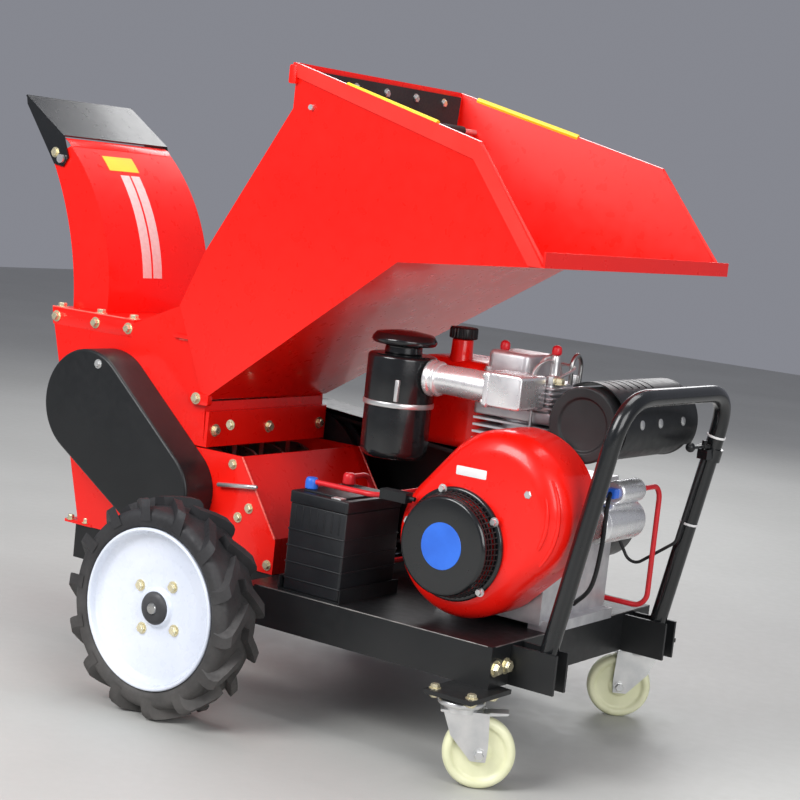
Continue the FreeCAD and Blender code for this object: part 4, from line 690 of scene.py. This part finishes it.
bands = []
for side in (-1, 1):
    wall_corners = [corner_of("hopper_sides", d) for d in ((-1, 0.5 * side, 3), (1, 0.3 * side, 1.15),
                                                           (1, 0.3 * side, -0.25))]
    plane = wall_height(wall_corners)
    edge = np.array([corner[[0, 2]] for corner in wall_corners])
    inner = edge + np.array([(0.004, -0.026), (-0.012, -0.030), (-0.032, 0.0)])
    grid = np.zeros((3, 4, 3))
    for column, (line, lift) in enumerate(((edge, 0.0040), (edge, 0.0072), (inner, 0.0044), (inner, 0.0040))):
        grid[:, column, 0], grid[:, column, 2] = line[:, 0], line[:, 1]
        grid[:, column, 1] = plane[0] + line @ plane[1:] + side * lift
    bands.append(skin(grid))
make("mouth_band", bands, satin_red, sharp=20)

# %% Rubber apron behind the crown
apron_top, apron_foot = crown[1] + (0.0115, -0.014, -0.010), (0.0530, crown[1][1] - 0.026, 1.130)
apron_sheet = 0.0025
grid = np.array([[(x + dx, y, z) for dx, y in ((0, -half_y), (0, half_y), (apron_sheet, half_y),
                                               (apron_sheet, -half_y))]
                 for x, half_y, z in (apron_top, apron_foot)])
make("curtain_apron", [skin(grid)], soft_rubber)
spots = [(apron_top[0] + 0.0022, y, apron_top[2] - 0.018) for y in np.linspace(-0.20, 0.20, 5)]
make("apron_bolts", bolts(spots, (1, 0, 0), 0.013, 0.006), zinc)

# %% Yellow warning strips and crown lugs
strips, lugs = [], []
for side, (start, stop) in ((-1, (0.30, 0.78)), (1, (0.10, 0.60))):
    a, b = crown[side], brow[side]
    inner = np.array((0, -side * 0.0050, -0.0010))
    first, last = a + (b - a) * start + inner, a + (b - a) * stop + inner
    strips.append(tube(np.linspace(first, last, 10), 0.0058, 8, up=(0, 1, 0)))
    at = crown[side] + (0.004, -side * 0.004, -0.020)
    lugs.append(brick(at - (0.010, 0.007, 0.018), at + (0.006, 0.007, 0.016), 0.004, 0.0012, "XZ"))
make("yellow_strips", strips, yellow)
make("crown_lugs", lugs, red)

# %% Curtain clamp bar
low, high = box("feed_curtain")
bar_x = (low[0] + high[0]) / 2 + 0.002
clamp = brick((bar_x, low[1] + 0.004, high[2] - 0.062), (bar_x + 0.004, high[1] - 0.004, high[2] - 0.028),
              0.004, 0.001, "YZ")
make("curtain_clamp", [clamp], gloss_black, body="curtain")
spots = [(bar_x + 0.004, y, high[2] - 0.045) for y in np.linspace(low[1] + 0.03, high[1] - 0.03, 6)]
make("curtain_bolts", bolts(spots, (1, 0, 0), 0.014, 0.007), zinc, body="curtain")

# %% [markdown]
# ## Chute film and deflector edge
# Two plain films sit on the curved front of the chute. They follow its arc, which is the circle through three
# points of the front plate.


# %% Films on the chute
def circle_through(a, b, c):
    """The centre solves |P - a| = |P - b| = |P - c|, which are two linear equations in P."""
    rows = 2 * np.array([b - a, c - a])
    values = np.array([b @ b - a @ a, c @ c - a @ a])
    centre = np.linalg.solve(rows, values)
    return centre, np.linalg.norm(a - centre)


points = vertices_of("chute_curved_plates")
tip = points[np.argmax(points[:, 2] + 0.2 * points[:, 0])][[0, 2]]
base = points[np.argmax(points[:, 0])][[0, 2]]
chord = (tip - base) / np.linalg.norm(tip - base)
outward = np.array((chord[1], -chord[0]))
belly = points[np.argmax((points[:, [0, 2]] - base) @ outward)][[0, 2]]
arc_centre, arc_radius = circle_through(base, belly, tip)


def film(low_z, high_z, low_y, high_y, thick=0.0006):
    """A patch of the cylinder about the arc's centre between two heights, as a thin closed skin."""
    heights = np.linspace(low_z, high_z, 9)
    angle = np.arcsin((heights - arc_centre[1]) / arc_radius)
    grid = np.zeros((len(angle), 4, 3))
    for column, (depth, y) in enumerate(((0.0001, low_y), (thick, low_y), (thick, high_y), (0.0001, high_y))):
        radius = arc_radius + depth
        grid[:, column] = np.stack([arc_centre[0] + radius * np.cos(angle), np.full(len(angle), y),
                                    arc_centre[1] + radius * np.sin(angle)], 1)
    return skin(grid)


top_z = tip[1]
make("chute_yellow_film", [film(top_z - 0.042, top_z - 0.014, -0.078, 0.012)], yellow)
make("chute_pale_film", [film(top_z - 0.258, top_z - 0.050, y, y + 0.026) for y in (-0.052, -0.020)], pale)

# %% [markdown]
# The deflector's plate stands a little way off the chute's top edge. A lip that curves about the hinge closes
# that gap, and because it curves about the hinge it stays clear of the plate at every angle.

# %% Lip under the deflector
visor_high = box("tip_deflector")[1]
pivot = np.array(joints["deflector_tilt"]["pos_m"])
start_turn = math.atan2(tip[1] - pivot[2], tip[0] - pivot[0])
start_reach = math.hypot(tip[1] - pivot[2], tip[0] - pivot[0])
end_turn, end_reach = math.radians(93), 0.0435
turn = np.linspace(start_turn, end_turn, 12)
reach = np.linspace(start_reach + 0.0006, end_reach, 12)
ray = np.stack([np.cos(turn), np.sin(turn)], 1)
outer, inner = pivot[[0, 2]] + reach[:, None] * ray, pivot[[0, 2]] + (reach[:, None] - 0.0018) * ray
make("chute_lip", [slab(np.concatenate([outer, inner[::-1]]), -0.1535, 0.1535, "XZ", 0.0004)], red)

# %% Deflector edge and bolts
start, tip_edge = corner_of("tip_deflector", (1, 0, 1.6)), corner_of("tip_deflector", (-1, 0, 1.2))
trim = []
for side in (-1, 1):
    y = side * (visor_high[1] - 0.0016)
    trim.append(tube(np.linspace((start[0], y, start[2] - 0.0018),
                                 (tip_edge[0] + 0.002, y, tip_edge[2] - 0.0018), 8), 0.0015, 8, up=(0, 1, 0)))
make("deflector_edge", trim, gloss_black, body="deflector")
heads = []
for side in (-1, 1):
    heads += bolt((pivot[0] - 0.020, side * visor_high[1], pivot[2] + 0.012), (0, side, 0), 0.014, 0.007)
make("deflector_bolts", heads, gold_zinc, body="deflector")
print("chute arc radius", round(arc_radius, 3))

# %% [markdown]
# ## Belt guards
# Each guard is a pressed pan: the line of a belt round two pulleys, closed outboard, with a rolled edge. The
# shafts' joints give the two centres, and the CAD node's box gives the radii.

# %% Guards
mill = np.array(joints["mill_spin"]["pos_m"])[[0, 2]]
drum = np.array(joints["drum_spin"]["pos_m"])[[0, 2]]
crank = np.array(joints["crank_spin"]["pos_m"])[[0, 2]]
low, high = box("belt_guard_right")
outline = loop_outline(mill, high[0] - mill[0], drum, drum[0] - low[0])
make("right_guard", [pan(outline, high[1], low[1], 0.0018, 0.006)], black,
     ["belt_guard_right"])
guard_heads = bolts([(mill[0] - 0.01, low[1], mill[1] - 0.06), (drum[0] + 0.03, low[1], drum[1] + 0.085)],
                    (0, -1, 0), 0.012, 0.006)
low, high = box("belt_guard_left")
outline = loop_outline(mill, mill[0] - low[0], crank, high[0] - crank[0])
make("left_guard", [pan(outline, low[1], high[1], 0.0018, 0.008)], black,
     ["belt_guard_left"])
guard_heads += bolts([(mill[0], high[1], mill[1] + 0.135), (crank[0], high[1], crank[1] + 0.050),
                      (mill[0], high[1], mill[1] - 0.135)], (0, 1, 0), 0.012, 0.006)
make("guard_bolts", guard_heads, zinc)

# %% [markdown]
# ## Engine
# The fan shroud is the engine's face: a deep red pressing with a very soft edge round two overlapping
# circles. A pan with a wide rolled edge has that shape. A rib on its curve stands where the rolled edge is
# as deep as the quarter circle says at that reach.

# %% Fan shroud
low, high = box("fan_shroud")
small = crank[0] - low[0]
large = 0.140
roll = 0.046
bulge = (high[0] - large, high[2] - large)
outline = loop_outline(crank, small, bulge, large, 56)
shroud = pan(outline, high[1], low[1], 0.003, roll, steps=12)
make("shroud_pressing", [shroud], red, ["fan_shroud"], sharp=50)
ribs = []
for reach, start, stop in ((0.127, -38, 34), (0.111, -26, 22)):
    height = roll * (1 - math.sin(math.acos(1 - (large - reach) / roll)))
    turn = np.radians(np.linspace(start, stop, 24))
    path = np.stack([bulge[0] + reach * np.cos(turn), np.full(24, low[1] + height + 0.0005),
                     bulge[1] + reach * np.sin(turn)], 1)
    ribs.append(tube(path, 0.0042 * np.sin(np.linspace(0.25, np.pi - 0.25, 24)) ** 0.4, 10, up=(0, 1, 0)))
make("shroud_ribs", ribs, red)
plate_z = crank[1] + 0.122
plate = slab(rounded(rectangle((crank[0] - 0.012, plate_z), (crank[0] + 0.050, plate_z + 0.016)), 0.002, 3),
             low[1] - 0.0010, low[1] + 0.0004, "XZ", 0.0003)
make("blank_plate", [plate], label)
shroud_heads = bolts([(bulge[0] + 0.070, low[1] + 0.004, bulge[1] + 0.042),
                      (bulge[0] + 0.078, low[1] + 0.008, bulge[1] - 0.020)], (0, -1, 0), 0.013, 0.007)
make("shroud_bolts", shroud_heads, zinc)

# %% [markdown]
# The recoil cover is a black disc carried on a ring of thin bars, so that air can pass to the fan. Sixty
# small tubes and three hoops make the cage; a texture would lie flat at the edge, where the bars stand out.

# %% Recoil cover
low, high = box("recoil_cover")
cover = (high[2] - low[2]) / 2
hub = (crank[0], high[1], crank[1])
depth = high[1] - low[1]
face_radius = cover - 0.013
disc = lathe(rounded([(0.0, depth - 0.008), (0.0, depth), (face_radius - 0.004, depth),
                      (face_radius, depth - 0.005), (face_radius, depth - 0.009),
                      (face_radius - 0.010, depth - 0.009)], 0.003, 4, closed=False), hub, (0, -1, 0), 96)
flange = lathe(rounded([(cover - 0.014, 0.0), (cover, 0.0), (cover, 0.005), (cover - 0.003, 0.008),
                        (cover - 0.014, 0.008)], 0.002, 3), hub, (0, -1, 0), 96, closed=True)
well = lathe([(0, 0.002), (face_radius - 0.010, 0.002), (face_radius - 0.012, depth - 0.009),
              (0, depth - 0.009)], hub, (0, -1, 0), 64)
make("recoil_disc", [disc, flange, well], gloss_black, ["recoil_cover"])
square = 0.0012 * np.array([(-1, -1), (1, -1), (1, 1), (-1, 1)])
hoops = [lathe(rounded(square + place, 0.0008, 3), hub, (0, -1, 0), 96, closed=True)
         for place in ((face_radius + 0.0035, 0.014), (face_radius + 0.0015, 0.021),
                       (face_radius - 0.0005, 0.028))]
ribs = []
for turn in np.linspace(0, 2 * np.pi, 60, endpoint=False):
    ray = np.array((math.cos(turn), 0, math.sin(turn)))
    start = np.array(hub) + ray * (cover - 0.007) + (0, -0.007, 0)
    end = np.array(hub) + ray * (face_radius - 0.002) + (0, -(depth - 0.008), 0)
    ribs.append(tube(np.linspace(start, end, 2), 0.0013, 6, up=(0.3, 0.2, 0.9)))
make("recoil_grille", hoops + ribs, black_plastic)
badge = lathe([(0, -0.0004), (0.0410, -0.0004), (0.0414, 0.0003), (0.0408, 0.0009), (0, 0.0009)],
              (hub[0], low[1], hub[2]), (0, -1, 0), 64)
make("blue_badge", [badge], blue)
spots = [(hub[0] + (cover - 0.003) * math.cos(a), high[1] - 0.008, hub[2] + (cover - 0.003) * math.sin(a))
         for a in np.radians([108, 34, -46, 166])]
make("recoil_bolts", bolts(spots, (0, -1, 0), 0.011, 0.008), zinc)

# %% [markdown]
# The air filter is two black cans clamped by a zinc band, under a mushroom cap. A bright alloy pipe joins it
# to the cylinder head. Cans, cap and band are turned from short profiles.

# %% Air filter
low, high = box("filter_bowl")
spot = ((low[0] + high[0]) / 2, (low[1] + high[1]) / 2, 0.0)
can, mid = (high[0] - low[0]) / 2, (low[2] + high[2]) / 2 + 0.005
lower = rounded([(0, low[2]), (can - 0.012, low[2]), (can - 0.003, low[2] + 0.010), (can - 0.003, mid),
                 (0, mid)], 0.006, 5, closed=False)
upper = rounded([(0, mid), (can - 0.001, mid), (can - 0.001, high[2] - 0.004), (can - 0.008, high[2]),
                 (0, high[2])], 0.005, 5, closed=False)
lid_high = box("filter_lid")[1]
cap = rounded([(0, high[2]), (0.036, high[2]), (0.034, high[2] + 0.016), (0.058, high[2] + 0.018),
               (0.062, high[2] + 0.026), (0.054, high[2] + 0.038), (0.020, lid_high[2] - 0.0005),
               (0, lid_high[2] - 0.0005)], 0.004, 5, closed=False)
make("filter_cans", [lathe(p, spot, (0, 0, 1), 72) for p in (lower, upper)], gloss_black,
     ["filter_bowl"])
make("filter_cap", [lathe(cap, spot, (0, 0, 1), 72)], gloss_black, ["filter_lid"])
band = rounded([(can - 0.004, mid - 0.005), (can + 0.0002, mid - 0.005), (can + 0.0008, mid), (can + 0.0002,
               mid + 0.005), (can - 0.004, mid + 0.005)], 0.0015, 4)
clips = []
for turn in np.radians([-60, 60, 180]):
    at = np.array((spot[0] + (can - 0.001) * math.cos(turn), spot[1] + (can - 0.001) * math.sin(turn),
                   mid + 0.028))
    clips.append(brick(at - (0.004, 0.004, 0.020), at + (0.004, 0.004, 0.020), 0.002, 0.001))
make("filter_band", [lathe(band, spot, (0, 0, 1), 72, closed=True)] + clips, zinc)

# %% Intake pipe
low, high = box("intake_elbow")
pipe_y, pipe_z = spot[1], 0.655
collar = rounded([(0, -0.012), (0.034, -0.012), (0.034, -0.004), (0.029, 0.0), (0.033, 0.006), (0.030, 0.012),
                  (0, 0.012)], 0.002, 4, closed=False)
pipe = through([(low[0] + 0.004, pipe_y, pipe_z), (low[0] + 0.05, pipe_y, pipe_z + 0.001),
                (low[0] + 0.11, pipe_y, pipe_z), (low[0] + 0.150, pipe_y + 0.006, pipe_z)], 10)
port = brick((0.443, low[1] + 0.003, low[2] + 0.004), (high[0], -0.061, high[2] - 0.002), 0.008, 0.004, "XZ")
pad = brick((0.436, low[1] + 0.001, low[2] + 0.001), (0.446, -0.075, high[2] - 0.001), 0.008, 0.002, "YZ")
make("intake_pipe", [lathe(collar, (low[0] + 0.012, pipe_y, pipe_z), (1, 0, 0), 48),
                     tube(pipe, np.linspace(0.0265, 0.0290, len(pipe)), 32), port, pad], bright_alloy,
     ["intake_elbow"])
spots = [(0.436, y, z) for y in (low[1] + 0.010, -0.085) for z in (low[2] + 0.010, high[2] - 0.010)]
make("intake_bolts", bolts(spots, (-1, 0, 0), 0.010, 0.006), zinc)

# %% [markdown]
# The head is a casting: a stack of cooling fins under a rocker cover. Each fin is a thin rounded brick with
# a gap below it, so light and shade fall between them as they do on the real one.

# %% Cylinder head
low, high = box("cylinder_head")
deck = 0.672
block = [brick((low[0], low[1], low[2]), (high[0], high[1], low[2] + 0.022), 0.010, 0.003)]
for level in np.arange(low[2] + 0.028, deck - 0.010, 0.009):
    block.append(brick((low[0] + 0.003, low[1] + 0.002, level),
                       (high[0] - 0.003, high[1] - 0.002, level + 0.004), 0.010, 0.001))
block.append(brick((low[0] + 0.012, low[1] + 0.010, low[2] + 0.02), (high[0] - 0.012, high[1] - 0.010, deck),
                   0.010, 0.003))
rocker = brick((low[0] + 0.012, low[1] + 0.012, deck - 0.001),
               (low[0] + 0.100, high[1] - 0.012, deck + 0.046), 0.014, 0.008)
lid = brick((low[0] + 0.009, low[1] + 0.009, deck - 0.001), (low[0] + 0.103, high[1] - 0.009, deck + 0.006),
            0.014, 0.002)
make("head_casting", block + [rocker, lid], alloy, ["cylinder_head"])
barrel_x = (low[0] + high[0]) / 2
head_bolts = bolts([(x, y, deck + 0.006) for x in (low[0] + 0.016, low[0] + 0.096)
                    for y in (low[1] + 0.016, high[1] - 0.016)], (0, 0, 1), 0.011, 0.008)
head_bolts += bolts([(high[0] - 0.020, y, deck) for y in (-0.044, 0.040)], (0, 0, 1), 0.014, 0.014)
make("head_bolts", head_bolts, zinc)

# %% [markdown]
# Small fittings make an engine look ready to run. The injector and the caps are turned. The fuel lines and
# the lifting eye are tubes along smooth paths, each drawn through a few points.

# %% Injector, pipes, caps and the lifting eye
nozzle = (barrel_x + 0.054, -0.016, deck)
body_profile = rounded([(0, 0), (0.014, 0), (0.014, 0.010), (0.009, 0.014), (0.009, 0.040), (0.0075, 0.050),
                        (0, 0.052)], 0.002, 3, closed=False)
make("injector", [lathe(body_profile, nozzle, (0, 0, 1), 32)], zinc)
cap_profile = rounded([(0, -0.001), (0.0085, 0), (0.0095, 0.006), (0.0085, 0.014), (0.004, 0.0175),
                       (0, 0.018)], 0.003, 4, closed=False)
caps = [lathe(cap_profile, (nozzle[0], nozzle[1], deck + 0.051), (0, 0, 1), 32),
        lathe(cap_profile, (low[0] + 0.030, -0.020, deck + 0.046), (0, 0, 1), 32)]
make("red_caps", caps, cap_red)
nut = bolts([(nozzle[0] + 0.022, nozzle[1] - 0.018, deck)], (0, 0, 1), 0.017, 0.012)
make("brass_union", nut, gold_zinc)
return_line = [(nozzle[0], nozzle[1] - 0.002, deck + 0.036), (nozzle[0] - 0.004, -0.040, deck + 0.040),
               (barrel_x + 0.040, -0.066, deck + 0.018), (barrel_x + 0.046, -0.070, deck - 0.050),
               (barrel_x + 0.050, -0.078, 0.540)]
feed_line = [(nozzle[0] + 0.022, nozzle[1] - 0.018, deck + 0.012), (nozzle[0] + 0.026, 0.010, deck + 0.030),
             (barrel_x + 0.010, 0.040, deck + 0.030), (barrel_x - 0.075, 0.046, deck + 0.018)]
vent_line = [(low[0] + 0.110, -0.040, deck + 0.010), (low[0] + 0.122, -0.030, deck + 0.042),
             (low[0] + 0.128, 0.006, deck + 0.046), (low[0] + 0.126, 0.036, deck + 0.004)]
make("fuel_lines", [tube(through(line), 0.0030, 10, up=(1, 0.2, 0.1))
                    for line in (return_line, feed_line, vent_line)], zinc)
eye_x = high[0] - 0.012
eye = rounded([(eye_x, 0.014, deck - 0.002), (eye_x, 0.012, deck + 0.040), (eye_x, 0.030, deck + 0.056),
               (eye_x, 0.048, deck + 0.040), (eye_x, 0.046, deck - 0.002)], 0.014, 6, closed=False)
make("lifting_eye", [tube(eye, 0.0042, 12, up=(1, 0, 0))], steel)

# %% [markdown]
# The tank is two pressed halves joined round the middle. A brick with a wide edge gives the soft body, and a
# thin one gives the joint. The cap's grip is a circle whose radius steps in and out with the sign of a sine.

# %% Fuel tank and its cap
low, high = box("fuel_tank")
shoulder = 0.686
shell = brick((low[0], low[1], low[2]), (high[0], high[1], shoulder), 0.030, 0.022, steps=8)
half_joint = brick((low[0], low[1], 0.6065), (high[0], high[1], 0.6105), 0.030, 0.0018, steps=8)
tank_cap = np.array(joints["tank_cap_turn"]["pos_m"])
neck = lathe(rounded([(0, shoulder - 0.010), (0.024, shoulder - 0.010), (0.021, shoulder + 0.008),
                      (0.020, 0.7235), (0, 0.7235)], 0.002, 4, closed=False), (tank_cap[0], tank_cap[1], 0),
             (0, 0, 1), 48)
make("tank_shell", [shell, half_joint, neck], red, ["fuel_tank"])
cap_low, cap_high = box("fuel_cap")
turn = np.linspace(0, 2 * np.pi, 120, endpoint=False)
wave = 0.0262 + 0.0007 * np.sign(np.sin(24 * turn))
outline = np.stack([tank_cap[0] + wave * np.cos(turn), tank_cap[1] + wave * np.sin(turn)], 1)
make("tank_cap_grip", [slab(outline, cap_low[2], cap_high[2], "XY", 0.003, 4)], black_plastic,
     ["fuel_cap"], "tank_cap")

# %% [markdown]
# The muffler is a rolled can with a seam at each end, so its profile steps in and out there before it is
# turned. The starter is two turned cans side by side, with its loom hanging from the smaller one.

# %% Muffler
low, high = box("muffler_drum")
shield_high = box("muffler_shield")[1]
radius = 0.068
axis_at = (high[0] - radius, 0.0, high[2] - radius)
drum_profile = rounded([(0, low[1] + 0.006), (0.046, low[1] + 0.006), (0.049, low[1] + 0.0015),
                        (0.060, low[1] + 0.0010), (0.066, low[1] + 0.0005), (radius - 0.0005, low[1] + 0.004),
                        (radius - 0.0005, low[1] + 0.010), (radius - 0.002, low[1] + 0.013),
                        (radius - 0.002, high[1] - 0.013), (radius - 0.0005, high[1] - 0.010),
                        (radius - 0.0005, high[1] - 0.003), (0.060, high[1] - 0.001),
                        (0.048, high[1] - 0.005), (0, high[1] - 0.005)], 0.002, 4, closed=False)
inlet = tube(through([(barrel_x + 0.082, 0, 0.638), (barrel_x + 0.100, 0, 0.638),
                      (axis_at[0] - 0.050, 0, 0.634)], 6), 0.018, 24)
make("muffler_can", [lathe(drum_profile, axis_at, (0, 1, 0), 80), inlet], heat_black,
     ["muffler_drum"])
shield_r = shield_high[0] - axis_at[0]
spots = [(axis_at[0] + (shield_r - 0.001) * math.cos(a), y, axis_at[2] + (shield_r - 0.001) * math.sin(a))
         for a, y in ((0.12, -0.040), (0.12, 0.030), (0.12, 0.120))]
make("shield_bolts", bolts(spots, (1, 0, 0.12), 0.011, 0.003), zinc)

# %% Starter motor and its wiring
low, high = box("starter_motor")
core = (0.640, 0.0, 0.440)
motor = rounded([(0, low[1]), (0.030, low[1]), (0.034, low[1] + 0.004), (0.036, low[1] + 0.012),
                 (0.0375, low[1] + 0.014), (0.0375, 0.070), (0.034, 0.076), (0.024, 0.084),
                 (0.020, high[1] - 0.002), (0, high[1] - 0.002)], 0.002, 4, closed=False)
coil = rounded([(0, -0.020), (0.018, -0.020), (0.0215, -0.016), (0.0215, 0.062), (0.016, 0.070), (0, 0.070)],
               0.002, 4, closed=False)
solenoid_at = (core[0] + 0.014, 0.0, core[2] + 0.056)
bracket = brick((0.586, -0.028, 0.422), (0.640, 0.018, 0.458), 0.006, 0.003)
make("starter_castings", [lathe(motor, core, (0, 1, 0), 56), lathe(coil, solenoid_at, (0, 1, 0), 40),
                          bracket], bright_alloy, ["starter_motor"])
plug = brick((solenoid_at[0] - 0.010, -0.036, solenoid_at[2] - 0.009),
             (solenoid_at[0] + 0.010, -0.019, solenoid_at[2] + 0.009), 0.003, 0.0015, "XZ")
make("blue_connector", [plug], blue)
post = bolts([(solenoid_at[0] - 0.012, 0.070, solenoid_at[2] + 0.006)], (0, 1, 0), 0.010, 0.010)
make("starter_posts", post, gold_zinc)
wire = through([(solenoid_at[0], -0.034, solenoid_at[2]),
                (solenoid_at[0] + 0.010, -0.060, solenoid_at[2] - 0.020),
                (core[0] + 0.030, -0.075, core[2] - 0.040), (core[0] + 0.016, -0.070, core[2] - 0.110),
                (core[0] - 0.020, -0.060, core[2] - 0.150)], 8)
make("loom", [tube(wire, 0.0042, 10, up=(1, 0.1, 0.2))], black_plastic)

# %% [markdown]
# ## Battery
# The case is a ribbed moulding under a lid with a lip. Blue and red caps cover its posts.

# %% Battery
low, high = box("battery_case")
lid_foot = high[2] - 0.027
walls = [brick((low[0] + 0.0020, low[1] + 0.0020, low[2]), (high[0] - 0.0020, high[1] - 0.0020, lid_foot),
               0.005, 0.002)]
for level in np.linspace(low[2] + 0.020, lid_foot - 0.050, 4):
    walls.append(brick((low[0] + 0.0005, low[1] + 0.0005, level),
                       (high[0] - 0.0005, high[1] - 0.0005, level + 0.003), 0.005, 0.001))
for share in np.linspace(0.12, 0.88, 7):
    x = low[0] + (high[0] - low[0]) * share
    walls.append(brick((x - 0.0015, low[1] + 0.0008, lid_foot - 0.040),
                       (x + 0.0015, high[1] - 0.0008, lid_foot - 0.004), 0.001, 0.0006))
lid = brick((low[0], low[1], lid_foot), (high[0], high[1], high[2] - 0.004), 0.006, 0.003)
tops = [brick((low[0] + 0.016, low[1] + 0.016, high[2] - 0.006),
              (high[0] - 0.016, high[1] - 0.016, high[2] - 0.0002), 0.006, 0.002)]
make("battery_moulding", walls + [lid] + tops, case_plastic, ["battery_case"])
term_low, term_high = box("battery_terminals")
cap_shape = rounded([(0, term_low[2]), (0.0125, term_low[2]), (0.0120, term_high[2] - 0.006),
                     (0.0095, term_high[2] - 0.0002), (0, term_high[2] - 0.0002)], 0.003, 4, closed=False)
post_x = (term_low[0] + term_high[0]) / 2
near_post = lathe(cap_shape, (post_x, term_low[1] + 0.010, 0), (0, 0, 1), 32)
far_post = lathe(cap_shape, (post_x, term_high[1] - 0.010, 0), (0, 0, 1), 32)
make("blue_terminal_cap", [near_post], blue, ["battery_terminals"])
make("red_terminal_cap", [far_post], cap_red)
strap = brick((high[0] - 0.040, low[1], high[2] - 0.0042), (high[0] - 0.018, high[1], high[2] - 0.0008),
              0.003, 0.001)
make("hold_down_strap", [strap], zinc)

# %% [markdown]
# ## Stage
# A pale floor under soft studio light. The camera stands where a buyer would stand to see the engine side, a
# little above the hopper's lip, with the slight tilt of a hand-held view.

# %% Floor and light
scene = bpy.context.scene
floor_mesh = bpy.data.meshes.new("studio_floor")
floor_half = 9.0
floor_mesh.from_pydata([(-floor_half, -floor_half, 0), (floor_half, -floor_half, 0),
                        (floor_half, floor_half, 0), (-floor_half, floor_half, 0)], [], [(0, 1, 2, 3)])
floor = bpy.data.objects.new("studio_floor", floor_mesh)
scene.collection.objects.link(floor)
floor_mesh.materials.append(finish("pale_floor", (0.50, 0.50, 0.48), (0.45, 0.45, 0.43), 1.2, (0.50, 0.66),
                                   40, 0.0))
world = bpy.data.worlds.new("studio")
scene.world = world
world.use_nodes = True
world.node_tree.nodes["Background"].inputs["Color"].default_value = (0.36, 0.37, 0.42, 1)
world.node_tree.nodes["Background"].inputs["Strength"].default_value = 0.66


def soft_light(name, place, target, size, power):
    """A square area light, turned so that it faces the target."""
    lamp = bpy.data.lights.new(name, "AREA")
    lamp.size, lamp.energy = size, power
    holder = bpy.data.objects.new(name, lamp)
    scene.collection.objects.link(holder)
    away, first, second = basis(np.array(place, float) - np.array(target, float))
    turn = np.eye(4)
    turn[:3, 0], turn[:3, 1], turn[:3, 2], turn[:3, 3] = first, second, away, place
    holder.matrix_world = Matrix(turn.tolist())


soft_light("key", (-0.8, -3.6, 3.0), (0, 0, 0.6), 2.2, 175)
soft_light("fill", (3.8, -2.2, 2.0), (0, 0, 0.6), 2.4, 95)
soft_light("top", (0.3, 0.4, 4.2), (0, 0, 0.5), 2.6, 90)
soft_light("back", (-1.5, 3.6, 2.6), (0, 0, 0.7), 2.2, 60)
scene.view_settings.view_transform = "Standard"

# %% Camera
azimuth, elevation, roll = (math.radians(angle) for angle in (34.3, 6.6, 6.1))
back = np.array((math.sin(azimuth) * math.cos(elevation), -math.cos(azimuth) * math.cos(elevation),
                 math.sin(elevation)))
right_hand = np.array((math.cos(azimuth), math.sin(azimuth), 0.0))
down = np.cross(-back, right_hand)
view_right = right_hand * math.cos(roll) - down * math.sin(roll)
view_down = right_hand * math.sin(roll) + down * math.cos(roll)
camera = bpy.data.objects.new("camera", bpy.data.cameras.new("camera"))
scene.collection.objects.link(camera)
camera.data.sensor_width, camera.data.lens = 36.0, 83.5
turn = np.eye(4)
turn[:3, 0], turn[:3, 1], turn[:3, 2], turn[:3, 3] = view_right, -view_down, back, (2.171, -2.95, 1.0)
camera.matrix_world = Matrix(turn.tolist())
scene.camera = camera
